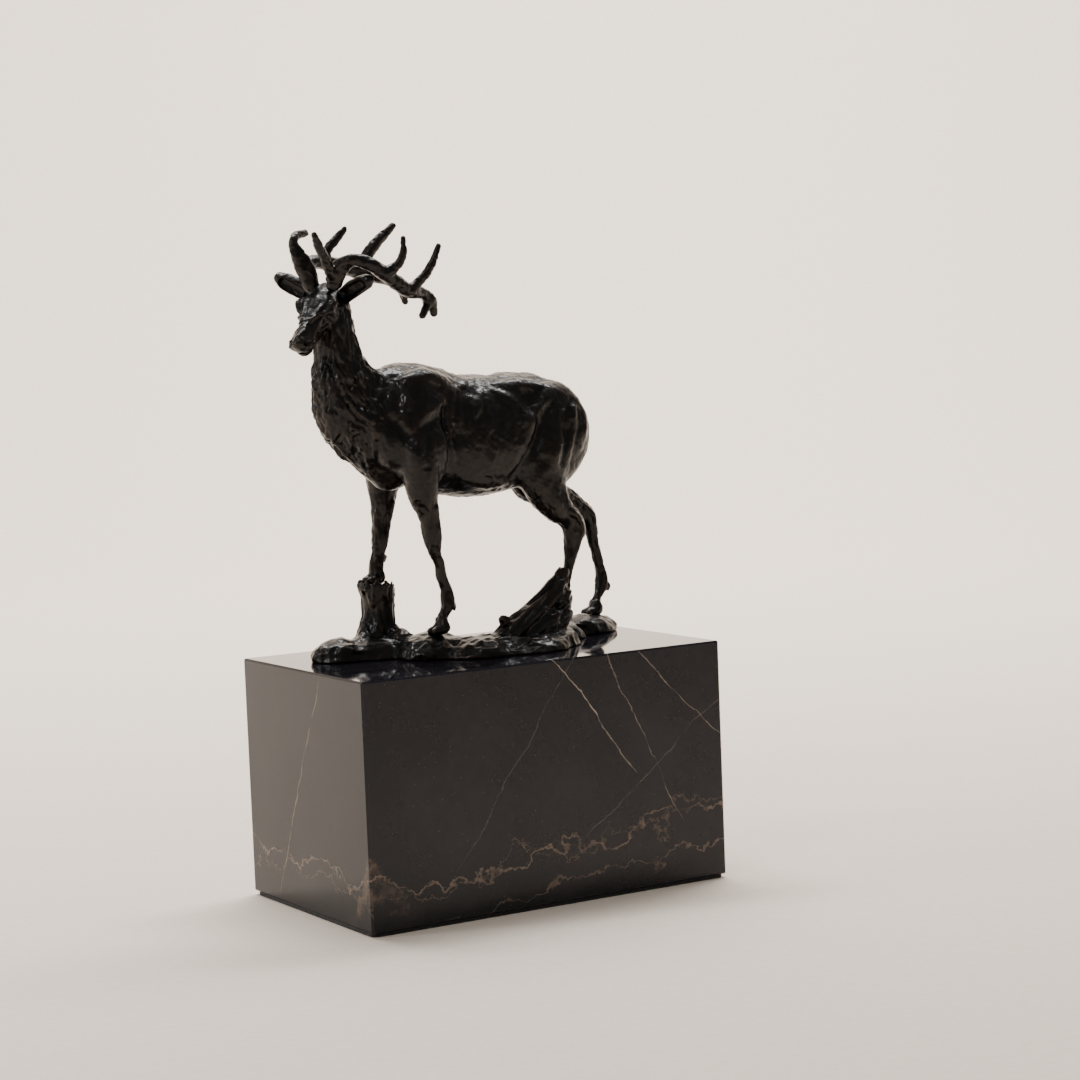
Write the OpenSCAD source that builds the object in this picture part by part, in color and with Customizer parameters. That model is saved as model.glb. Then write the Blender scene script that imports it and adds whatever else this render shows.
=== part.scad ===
// Bronze stag on a rocky ground, fixed to a polished marble block.
// The stag faces -X, so its left side is the -Y side. Z = 0 is the surface
// that the block stands on, and the Z axis passes through the block's middle.

/* [Plinth] */
// Length of the marble block, along the stag
plinth_length = 168; // [160:1:200]
// Width of the marble block
plinth_width = 106; // [100:1:130]
// Height from the table to the block's polished top, felt included
plinth_height = 100; // [80:1:120]
// Flat of the small chamfer on the block's edges
arris = 0.8; // [0.4:0.1:2]
// Thickness of the felt glued under the block
felt_thickness = 1.5; // [1:0.25:3]
// How far the felt stops short of the block's edge
felt_margin = 0.8; // [0:0.1:3]
// Radius of the felt's corners
felt_corner = 3; // [1:0.5:8]

/* [Fixings] */
// Diameter of the two steel studs
stud_d = 6; // [5:0.5:7]
// Clearance of the stud's bore in the marble, all round
stud_clearance = 0.6; // [0.3:0.1:1]
// Place of the front stud along the block
front_stud_x = -40; // [-44:1:-36]
// Place of the rear stud along the block
rear_stud_x = 26; // [22:1:30]
// Diameter of the counterbore under the block
counterbore_d = 20; // [18:1:24]
// Depth of the counterbore, up from the marble's underside
counterbore_depth = 14; // [12:1:20]
// Outer diameter of the threaded inserts in the ground casting
insert_d = 10; // [9:0.5:11]

/* [Bronze] */
// Wall of the hollow castings
wall = 3.5; // [2.5:0.5:4.5]
// Diameter of the bronze plug that closes the core hole under the belly
plug_d = 8; // [6:1:9]

/* [Hidden] */

bronze = "#33241a";
raw_bronze = "#6b4a2c";
steel = "#9a9da0";
marble = "#2b2a2b";
felt = "#141414";

LEFT = -1;
RIGHT = 1;
stag_y = 4;                     // the stag's middle plane
ball_facets = 12;
big = 400;                      // larger than the whole object

// Stud places: x, y and the height of the insert's upper end over the block.
// All heights of the bronze are measured from the block's polished top.
front_stud = [front_stud_x, 15, 5.5];
rear_stud = [rear_stud_x, -11, 4.5];
washer_h = 1.6;
nut_h = 5;
nut_across_corners = 11.5;
thread_clearance = 0.05;
stud_tail = 3;                  // stud left standing below the nut
socket_slack = 0.15;            // between an insert and its socket
pad_wall = 3;                   // bronze round an insert's socket

// Rock forms of the ground: x, y, half length, half width, height
rocks = [[-59, 15, 9.5, 9, 6], [-44, 13, 19, 15, 8.5], [-26, -5, 15, 14, 9.5], [-8, -16, 18, 13, 7.5],
         [12, -19, 18, 13, 6.5], [28, -11, 11, 13, 8.5], [44, 4, 9, 8, 6], [60, 14, 14, 9, 7.5],
         [68, 18, 10, 8, 6]];

// Chains of balls: x, y, z, radius
stump_line = [[-40, 17, 2, 9.5], [-39.5, 17, 8.5, 8], [-39, 17, 13, 7], [-38.5, 17, 18, 6.4],
              [-38.5, 17, 24, 6.6], [-39, 17, 28, 7]];
stump_roots = [[[-41, 17, 10, 5], [-48, 13, 6, 4], [-54, 10, 3, 2.5]],
               [[-39, 15, 11, 5], [-33, 8, 7, 4], [-29, 3, 4, 3]],
               [[-40, 19, 11, 5], [-36, 27, 6, 4], [-33, 32, 2, 2.5]]];
log_line = [[-3, -17, 4, 3.2], [7, -16, 9.5, 4.5], [16, -15, 13.5, 4.9], [24, -14, 19, 4.4],
            [30, -13.5, 25, 3.5], [34, -13, 30, 2.4]];
log_foot = [[13, -16, 6, 4.6], [24, -15, 10, 5.4], [31, -13.5, 13, 4.8], [33.5, -13, 21, 3.3]];
log_knot = [[8, -17, 10, 2.4], [3.5, -18, 12, 2], [1, -18.5, 13.5, 1.6]];

// Sections of the trunk, front to back:
// x, height of back, height of belly, half width, share of the height where it is widest
trunk = [[-57, 106, 93, 5, 0.5], [-52, 112, 86, 9.5, 0.5], [-43, 117.3, 78, 14.5, 0.5],
         [-32, 120, 71, 17, 0.48], [-18, 119.3, 66.3, 18, 0.47], [-6, 115, 64, 19, 0.45],
         [6, 114, 64, 19.5, 0.45], [18, 114.5, 65.5, 19, 0.46], [28, 114, 69.5, 17.5, 0.5],
         [37, 111.5, 75, 16, 0.5], [45, 106.5, 81, 13, 0.5], [51, 99, 87, 6, 0.5]];
trunk_sides = 24;
trunk_fullness = 2.3;           // exponent of the section's rounded shape

// Muscles of one side: two ends of each, with the offset from the middle plane
muscles = [[[-34, 12, 107, 6.5], [-38, 11, 90, 8]], [[-28, 13, 96, 7], [-29, 12, 80, 7.5]],
           [[44, 7.5, 98, 7.5], [33, 10, 92, 9.5]], [[38, 11, 90, 8], [31, 12, 77, 8]]];
brisket = [[-49.5, 4, 90, 8.3], [-44.5, 4, 82.5, 7.8], [-38, 4, 75.5, 7]];

neck_line = [[-48.5, 4, 99, 15.5], [-53.5, 4, 107, 13.7], [-56.5, 3.5, 115, 11.9], [-58.8, 3, 124, 9.8],
             [-60.5, 2, 134, 8.3], [-61.5, 2, 142, 7.6], [-62.5, 3, 145, 6.5]];
throat_line = [[-62, 2, 114, 7], [-62.3, 2.5, 106, 7], [-60.5, 3, 98, 6.8], [-55.5, 3.5, 91.5, 6.2]];

// The head hangs from the poll, and looks down and to the left
poll = [-64.5, 3, 152.5];
nose = [-83, -10.3, 131.5];
skull_line = [[-1, 0, -5.8, 5.6], [3, 0, -5.4, 6.4], [8, 0, -4.6, 6.6], [14, 0, -3.6, 5.6],
              [20, 0, -3.1, 4.8], [26, 0, -3, 4.3], [29.4, 0, -3.2, 4]];
jaw_line = [[3, 0, -9, 5], [10, 0, -9.5, 4.3], [18, 0, -8.2, 3.5], [25, 0, -7.2, 3], [28.5, 0, -7, 2.6]];
ear_line = [[0, 6, -5, 2.2], [-0.6, 9, -4.2, 2.6], [-1.6, 13, -2.4, 2.7], [-2.9, 20.5, 1, 1.4]];

foreleg_left_line = [[-30, -11, 86, 8.5], [-30.5, -11, 76, 7.8], [-30, -10.5, 68, 6.6],
                     [-28.2, -10, 61.5, 5], [-27, -10, 56.5, 4.2], [-26.2, -9.7, 50, 4],
                     [-25.3, -9.5, 44, 2.8], [-23.2, -9, 39, 2.2], [-22.1, -8.7, 34, 2.3],
                     [-20.1, -8.3, 27.5, 2.6], [-19.4, -8, 21.5, 3.1], [-21.3, -8, 17.5, 2.3],
                     [-23.5, -8, 10.5, 3.3]];
foreleg_right_line = [[-33, 18, 86, 8.5], [-33, 18, 76, 7.6], [-33.4, 17.5, 67.5, 6.2],
                      [-34.2, 17, 63, 5.2], [-35.3, 17, 56, 4.2], [-36.4, 17, 48, 3.7],
                      [-37.3, 17, 42, 2.8], [-39.5, 17, 32, 3.3]];
hindleg_left_line = [[29, -8, 80, 9.5], [30, -8.5, 70, 8], [33, -9, 61, 6.8], [37, -9, 55.5, 5.6],
                     [41, -9, 51.5, 5.2], [42.5, -9, 47, 5], [41.8, -9, 43, 4], [40.6, -9, 38, 3.1],
                     [39, -9, 31.5, 2.3], [37.5, -9, 26.5, 2.1], [35.8, -9, 20.5, 2.5],
                     [34.3, -9, 15, 2.2], [33, -8.5, 7.5, 2.9]];
hindleg_right_line = [[31.5, 12.5, 84, 8.5], [32, 13, 75, 8.4], [33.8, 13.5, 67.7, 7.5], [40, 14.2, 63.6, 6.4],
                      [53.5, 16.5, 60, 4.7], [60.5, 17, 55.5, 3.9], [64.8, 17, 51, 4.4],
                      [67, 17, 46, 3.3], [68.1, 17, 39.5, 2.5], [69.5, 17, 34, 2.3],
                      [71.4, 17, 26, 2.5], [71.8, 17, 20.5, 3], [69.8, 17, 15.5, 2.2],
                      [67, 17, 8, 3]];
tail_line = [[48, 4, 100, 3.4], [52.3, 4, 94, 3.5], [53.5, 4, 86, 3.3], [52.3, 4, 79, 2.9],
             [49.8, 4, 73.5, 1.8]];

antler_left_beam = [[-63, -3.5, 153, 2.8], [-62.5, -5.5, 159, 2.6], [-60, -9, 162, 2.5],
                    [-56, -11, 162.5, 2.5], [-50, -12, 160.5, 2.7], [-44, -11, 157, 2.9],
                    [-37, -9, 153, 3], [-30, -6.5, 149.5, 2.8], [-22, -3, 148.5, 2.4],
                    [-17, -1, 145, 2.2], [-15.5, 0, 140.5, 1.6]];
antler_left_tines = [[[-62.5, -5, 156, 2.4], [-66, -7.5, 158, 2.2], [-69.5, -10.5, 163, 2],
                      [-73.5, -13, 168.5, 1.8], [-76, -15, 172.5, 1.2]],
                     [[-43, -11, 157, 2.2], [-38.5, -13, 160, 1.9], [-36.5, -14.5, 164.5, 1.5],
                      [-36.5, -15, 170.5, 1]],
                     [[-30, -7, 150, 2], [-23.5, -8, 155.5, 1.9], [-20, -9, 161, 1.6],
                      [-17, -9, 167.5, 1]],
                     [[-18, -1.5, 146, 1.9], [-22.5, -3, 139.5, 1.4]]];
antler_right_beam = [[-67.5, 7.5, 153.5, 2.8], [-66, 12, 158, 2.7], [-64, 16, 162, 2.7],
                     [-58, 19, 163, 2.8], [-48, 22, 161.5, 3.1], [-38, 24, 159.2, 3.1],
                     [-28, 25, 156.8, 3], [-20, 25, 154.2, 2.6], [-16.5, 24, 150.5, 2.2],
                     [-15.5, 24, 145.5, 1.3]];
antler_right_tines = [[[-67.5, 8, 155, 2.6], [-71, 8, 160, 2.4], [-73.5, 7.5, 166, 2],
                       [-74, 8, 170.5, 1.8], [-71.5, 10, 173.4, 1.8], [-66, 13, 174.3, 1.5]],
                      [[-67, 7, 153, 2.6], [-67.5, 6, 158, 2.3], [-69.2, 6.5, 163, 1.8],
                       [-72, 7, 168, 1.3]],
                      [[-56, 19.5, 163, 2.2], [-52.5, 20, 168, 2], [-48.5, 20, 172, 1.8],
                       [-45, 19, 176, 1.1]],
                      [[-37, 24, 158.5, 2.3], [-31.5, 24, 166.5, 2.5], [-27, 23, 171.5, 2.2],
                       [-21.5, 21, 177, 1.4]]];

// Directions of the head: along it, to its right, and up from its brow
head_tilt = 5;                  // how far the crown leans to its left
head_dir = (nose - poll) / norm(nose - poll);
head_level = cross(head_dir, [0, 0, 1]) / norm(cross(head_dir, [0, 0, 1]));
head_side = cos(head_tilt) * head_level + sin(head_tilt) * cross(head_level, head_dir);
head_up = cross(head_side, head_dir);

function head_point(p) = poll + p[0] * head_dir + p[1] * head_side + p[2] * head_up;
function head_chain(line, side = 1) =
    [for (p = line) concat(head_point([p[0], side * p[1], p[2]]), [p[3]])];
function thinned(line, inset) = [for (p = line) [p[0], p[1], p[2], p[3] - inset]];
function signed_power(v, e) = sign(v) * pow(abs(v), e);

// One ring of the trunk, a rounded section that is widest at its own height
function trunk_ring(s, inset) =
    [for (i = [0:trunk_sides - 1])
        let (a = 360 * i / trunk_sides,
             middle = s[2] + (s[1] - s[2]) * s[4],
             reach = sin(a) > 0 ? s[1] - middle - inset : middle - s[2] - inset,
             half = max(s[3] - inset, 1))
        [s[0], stag_y + half * signed_power(cos(a), 2 / trunk_fullness),
         middle + max(reach, 1) * signed_power(sin(a), 2 / trunk_fullness)]];

// Skin over the trunk's rings, closed by its end rings
module trunk_form(sections, inset = 0) {
    rings = [for (s = sections) trunk_ring(s, inset)];
    last = len(rings) - 1;
    n = trunk_sides;
    walls = [for (r = [0:last - 1], i = [0:n - 1])
                [r * n + i, (r + 1) * n + i, (r + 1) * n + (i + 1) % n, r * n + (i + 1) % n]];
    front_end = [for (i = [0:n - 1]) i];
    back_end = [for (i = [n - 1:-1:0]) last * n + i];
    polyhedron([for (r = rings) each r], concat(walls, [front_end], [back_end]), convexity = 4);
}

// Balls of different sizes, with a hull from each one to the next
module ball(p) {
    translate([p[0], p[1], p[2]]) sphere(r = p[3], $fn = ball_facets);
}
module chain(line) {
    for (i = [0:len(line) - 2]) {
        hull() {
            ball(line[i]);
            ball(line[i + 1]);
        }
    }
}

module above(z) {
    intersection() {
        children();
        translate([-big / 2, -big / 2, z]) cube([big, big, big]);
    }
}

module tube(r_outer, r_bore, h) {
    difference() {
        cylinder(r = r_outer, h = h, $fn = 48);
        translate([0, 0, -1]) cylinder(r = r_bore, h = h + 2, $fn = 48);
    }
}

// Sets a bronze casting on the block
module cast() {
    color(bronze)
    translate([0, 0, plinth_height]) children();
}

// ---- Outer forms, which neighbouring castings are cut against ----

module rock(p, inset) {
    translate([p[0], p[1], 0])
        scale([p[2] - inset, p[3] - inset, p[4] - inset]) sphere(r = 1, $fn = 16);
}
module ground_form(inset = 0) {
    above(0)
        for (i = [0:len(rocks) - 2]) {
            hull() {
                rock(rocks[i], inset);
                rock(rocks[i + 1], inset);
            }
        }
}
module stump_form() {
    above(1) {
        chain(stump_line);
        for (root = stump_roots) chain(root);
    }
}
module log_form() {
    above(1) {
        chain(log_line);
        chain(log_foot);
        chain(log_knot);
    }
}
module torso_form() {
    trunk_form(trunk);
    chain(brisket);
    for (side = [LEFT, RIGHT], m = muscles)
        chain([for (p = m) [p[0], stag_y + side * p[1], p[2], p[3]]]);
}
module neck_form(inset = 0) {
    chain(thinned(neck_line, inset));
    chain(thinned(throat_line, inset));
}
module head_form() {
    chain(head_chain(skull_line));
    chain(head_chain(jaw_line));
}
module antler_form(beam, tines) {
    chain(beam);
    for (tine = tines) chain(tine);
}

// ---- Plinth ----

module chamfered(a, b) {
    polygon([[-a / 2 + arris, -b / 2], [a / 2 - arris, -b / 2], [a / 2, -b / 2 + arris],
             [a / 2, b / 2 - arris], [a / 2 - arris, b / 2], [-a / 2 + arris, b / 2],
             [-a / 2, b / 2 - arris], [-a / 2, -b / 2 + arris]]);
}
module marble_block() {
    height = plinth_height - felt_thickness;
    color(marble)
    difference() {
        translate([0, 0, felt_thickness])
        intersection() {
            linear_extrude(height) chamfered(plinth_length, plinth_width);
            translate([0, plinth_width / 2, height / 2]) rotate([90, 0, 0])
                linear_extrude(plinth_width) chamfered(plinth_length, height);
            translate([-plinth_length / 2, 0, height / 2]) rotate([90, 0, 90])
                linear_extrude(plinth_length) chamfered(plinth_width, height);
        }
        for (s = [front_stud, rear_stud]) {
            translate([s[0], s[1], 0]) cylinder(d = stud_d + 2 * stud_clearance, h = big / 2, $fn = 48);
            translate([s[0], s[1], 0])
                cylinder(d = counterbore_d, h = felt_thickness + counterbore_depth, $fn = 64);
        }
    }
}
module felt_pad() {
    length = plinth_length - 2 * felt_margin;
    width = plinth_width - 2 * felt_margin;
    color(felt)
    linear_extrude(felt_thickness)
    union() {
        square([length - 2 * felt_corner, width], center = true);
        square([length, width - 2 * felt_corner], center = true);
        for (sx = [-1, 1], sy = [-1, 1])
            translate([sx * (length / 2 - felt_corner), sy * (width / 2 - felt_corner)])
                circle(r = felt_corner, $fn = 32);
    }
}

// ---- Fixings, one set at each stud ----

seat_z = felt_thickness + counterbore_depth;

module stud(s) {
    bottom = seat_z - washer_h - nut_h - stud_tail;
    color(steel)
    translate([s[0], s[1], bottom]) cylinder(d = stud_d, h = plinth_height + s[2] - 0.5 - bottom, $fn = 48);
}
module washer(s) {
    color(steel)
    translate([s[0], s[1], seat_z - washer_h]) tube(stud_d, stud_d / 2 + 0.2, washer_h);
}
module nut(s) {
    color(steel)
    translate([s[0], s[1], seat_z - washer_h - nut_h])
    difference() {
        cylinder(d = nut_across_corners, h = nut_h, $fn = 6);
        translate([0, 0, -1]) cylinder(r = stud_d / 2 + thread_clearance, h = nut_h + 2, $fn = 48);
    }
}
module insert(s) {
    color(raw_bronze)
    translate([s[0], s[1], plinth_height]) tube(insert_d / 2, stud_d / 2 + thread_clearance, s[2]);
}
module stud_front() { stud(front_stud); }
module stud_rear() { stud(rear_stud); }
module washer_front() { washer(front_stud); }
module washer_rear() { washer(rear_stud); }
module nut_front() { nut(front_stud); }
module nut_rear() { nut(rear_stud); }
module insert_front() { insert(front_stud); }
module insert_rear() { insert(rear_stud); }

// ---- Ground, stump and log ----

// A thin casting, open below, with a thick pad and a socket at each stud
module ground() {
    cast()
    difference() {
        ground_form();
        difference() {
            ground_form(wall);
            for (s = [front_stud, rear_stud])
                translate([s[0], s[1], 0]) cylinder(d = insert_d + 2 * pad_wall, h = big, $fn = 24);
        }
        for (s = [front_stud, rear_stud])
            translate([s[0], s[1], -1]) cylinder(d = insert_d + 2 * socket_slack, h = s[2] + 1, $fn = 24);
    }
}
module stump() {
    cast()
    difference() {
        stump_form();
        ground_form();
    }
}
module log() {
    cast()
    difference() {
        log_form();
        ground_form();
        stump_form();
        chain(hindleg_left_line);
    }
}

// ---- Stag ----

// Hollow casting with one core hole under the belly
module torso() {
    cast()
    difference() {
        torso_form();
        trunk_form([for (i = [1:len(trunk) - 2]) trunk[i]], wall);
        translate([0, stag_y, 50]) cylinder(d = plug_d + 2 * socket_slack, h = 30, $fn = 24);
    }
}
module core_plug() {
    cast()
    translate([0, stag_y, trunk[6][2] + 0.5]) cylinder(d = plug_d, h = wall, $fn = 48);
}
// Hollow casting, open where it is welded to the trunk
module neck() {
    cast()
    difference() {
        neck_form();
        chain(thinned(neck_line, wall));
        torso_form();
    }
}
module head() {
    cast()
    difference() {
        head_form();
        neck_form();
    }
}
module ear(side) {
    cast()
    difference() {
        chain(head_chain(ear_line, side));
        head_form();
        neck_form();
    }
}
module ear_left() { ear(LEFT); }
module ear_right() { ear(RIGHT); }
module antler(beam, tines) {
    cast()
    difference() {
        antler_form(beam, tines);
        head_form();
        neck_form();
        for (side = [LEFT, RIGHT]) chain(head_chain(ear_line, side));
    }
}
module antler_left() { antler(antler_left_beam, antler_left_tines); }
module antler_right() { antler(antler_right_beam, antler_right_tines); }

module leg(line) {
    cast()
    difference() {
        chain(line);
        torso_form();
        ground_form();
        stump_form();
    }
}
module foreleg_left() { leg(foreleg_left_line); }
module foreleg_right() { leg(foreleg_right_line); }
module hindleg_left() { leg(hindleg_left_line); }
module hindleg_right() { leg(hindleg_right_line); }
module tail() {
    cast()
    difference() {
        chain(tail_line);
        torso_form();
    }
}

marble_block();
felt_pad();
stud_front();
stud_rear();
washer_front();
washer_rear();
nut_front();
nut_rear();
insert_front();
insert_rear();
ground();
stump();
log();
torso();
core_plug();
neck();
head();
ear_left();
ear_right();
antler_left();
antler_right();
foreleg_left();
foreleg_right();
hindleg_left();
hindleg_right();
tail();
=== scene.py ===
"""Looks of a bronze stag on a marble block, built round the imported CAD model.

The bronze is sculpted in a grid of distances, as a modeller builds up clay: balls and
chains of balls are pressed together, strokes are laid on and cut in, and the surface is
roughened. The finished skin is then cut at the founder's seams into separate castings.
All sculpting is in millimetres, with heights measured from the block's polished top.
"""

import logging
import math
from dataclasses import dataclass
from enum import Enum
from itertools import product
from typing import Callable, Sequence

import bmesh
import bpy
import numpy as np
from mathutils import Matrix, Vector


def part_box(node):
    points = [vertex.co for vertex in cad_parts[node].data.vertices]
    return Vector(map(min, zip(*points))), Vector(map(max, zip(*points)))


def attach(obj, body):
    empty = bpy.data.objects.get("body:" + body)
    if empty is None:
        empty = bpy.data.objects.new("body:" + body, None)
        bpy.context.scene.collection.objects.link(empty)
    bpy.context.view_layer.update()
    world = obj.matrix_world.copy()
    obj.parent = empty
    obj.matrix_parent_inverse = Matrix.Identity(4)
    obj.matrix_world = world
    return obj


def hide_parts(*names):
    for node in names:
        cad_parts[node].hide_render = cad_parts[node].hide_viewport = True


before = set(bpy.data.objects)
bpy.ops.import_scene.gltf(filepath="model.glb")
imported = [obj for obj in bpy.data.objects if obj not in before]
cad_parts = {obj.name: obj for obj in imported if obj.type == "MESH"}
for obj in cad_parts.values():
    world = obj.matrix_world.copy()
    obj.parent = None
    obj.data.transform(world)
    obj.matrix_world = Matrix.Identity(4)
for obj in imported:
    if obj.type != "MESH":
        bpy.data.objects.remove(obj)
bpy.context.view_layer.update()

import openvdb
from mathutils import Matrix, Vector

log = logging.getLogger("stag")

MM = 0.001
BLOCK_LOW, BLOCK_HIGH = (np.array(corner, float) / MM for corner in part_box("marble_block"))
BLOCK_TOP = float(BLOCK_HIGH[2])
MIDDLE_Y = 4.0                      # the stag's middle plane
Row = Sequence[float]
Rows = Sequence[Row]
Window = tuple[slice, ...]
Tree, Node, Socket = bpy.types.NodeTree, bpy.types.Node, bpy.types.NodeSocket
Material = bpy.types.Material


class Side(Enum):
    """The stag's own sides. It faces -X, so its left is -Y."""

    LEFT = -1
    RIGHT = 1


# ---------------------------------------------------------------- shape tools


def curve(rows: Rows, steps: int = 5) -> np.ndarray:
    """Runs a smooth curve through rows of numbers.

    Args:
        rows: The values at each point, such as x, y, z and radius.
        steps: How many stretches to make between two rows.
    Returns:
        The rows of the smooth curve.
    """
    knots = np.array(rows, float)
    padded = np.vstack([2 * knots[0] - knots[1], knots, 2 * knots[-1] - knots[-2]])
    result = []
    for before, start, end, after in zip(padded, padded[1:], padded[2:], padded[3:]):
        for step in range(steps):
            t = step / steps
            result.append(0.5 * (2 * start + (end - before) * t
                                 + (2 * before - 5 * start + 4 * end - after) * t * t
                                 + (3 * start - before - 3 * end + after) * t ** 3))
    result.append(knots[-1])
    return np.array(result)


def value_noise(points: np.ndarray, seed: int) -> np.ndarray:
    """Gives smooth random heights between -1 and 1 with bumps one unit apart.

    Args:
        points: Places, one row each.
        seed: Which of the random patterns to use.
    Returns:
        One height for each place.
    """
    cell = np.floor(points).astype(np.int64)
    part = (points - cell).astype(np.float32)
    part = part * part * (3 - 2 * part)
    total = np.zeros(len(points), np.float32)
    for corner in product((0, 1), repeat=3):
        key = cell + np.array(corner)
        mixed = (key[:, 0] * 374761393 + key[:, 1] * 668265263 + key[:, 2] * 362437 + seed * 974711)
        mixed = ((mixed ^ (mixed >> 13)) * 1274126177) & 0xFFFFFFFF
        height = ((mixed ^ (mixed >> 16)) & 0xFFFF).astype(np.float32) / 32768 - 1
        for axis in range(3):
            height = height * (part[:, axis] if corner[axis] else 1 - part[:, axis])
        total += height
    return total


def ridged(points: np.ndarray, seed: int) -> np.ndarray:
    """Gives sharp crests at 1 and round valleys near 0, as folds in clay or bark have."""
    return 1 - np.abs(value_noise(points, seed)) * 2


def unit(vector: Row) -> np.ndarray:
    """Gives the direction of a vector, with length 1."""
    vector = np.array(vector, float)
    return vector / np.linalg.norm(vector)


def turn_about_y(degrees: float) -> np.ndarray:
    """Gives the matrix that turns a form about the Y axis."""
    c, s = math.cos(math.radians(degrees)), math.sin(math.radians(degrees))
    return np.array([[c, 0, s], [0, 1, 0], [-s, 0, c]])


def edges_of(triangles: np.ndarray) -> np.ndarray:
    """Gives the three edges of each triangle, as pairs of vertices."""
    return np.vstack([triangles[:, [0, 1]], triangles[:, [1, 2]], triangles[:, [2, 0]]])


def islands(count: int, edges: np.ndarray) -> np.ndarray:
    """Gives each vertex the number of the connected island that it lies on.

    Args:
        count: How many vertices there are.
        edges: The two vertices of each edge.
    Returns:
        One number for each vertex, the same all over an island.
    """
    label = np.arange(count)
    while True:
        first, second = label[edges[:, 0]], label[edges[:, 1]]
        if (first == second).all():
            return label
        np.minimum.at(label, np.maximum(first, second), np.minimum(first, second))
        for _ in range(3):
            label = label[label]


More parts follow.
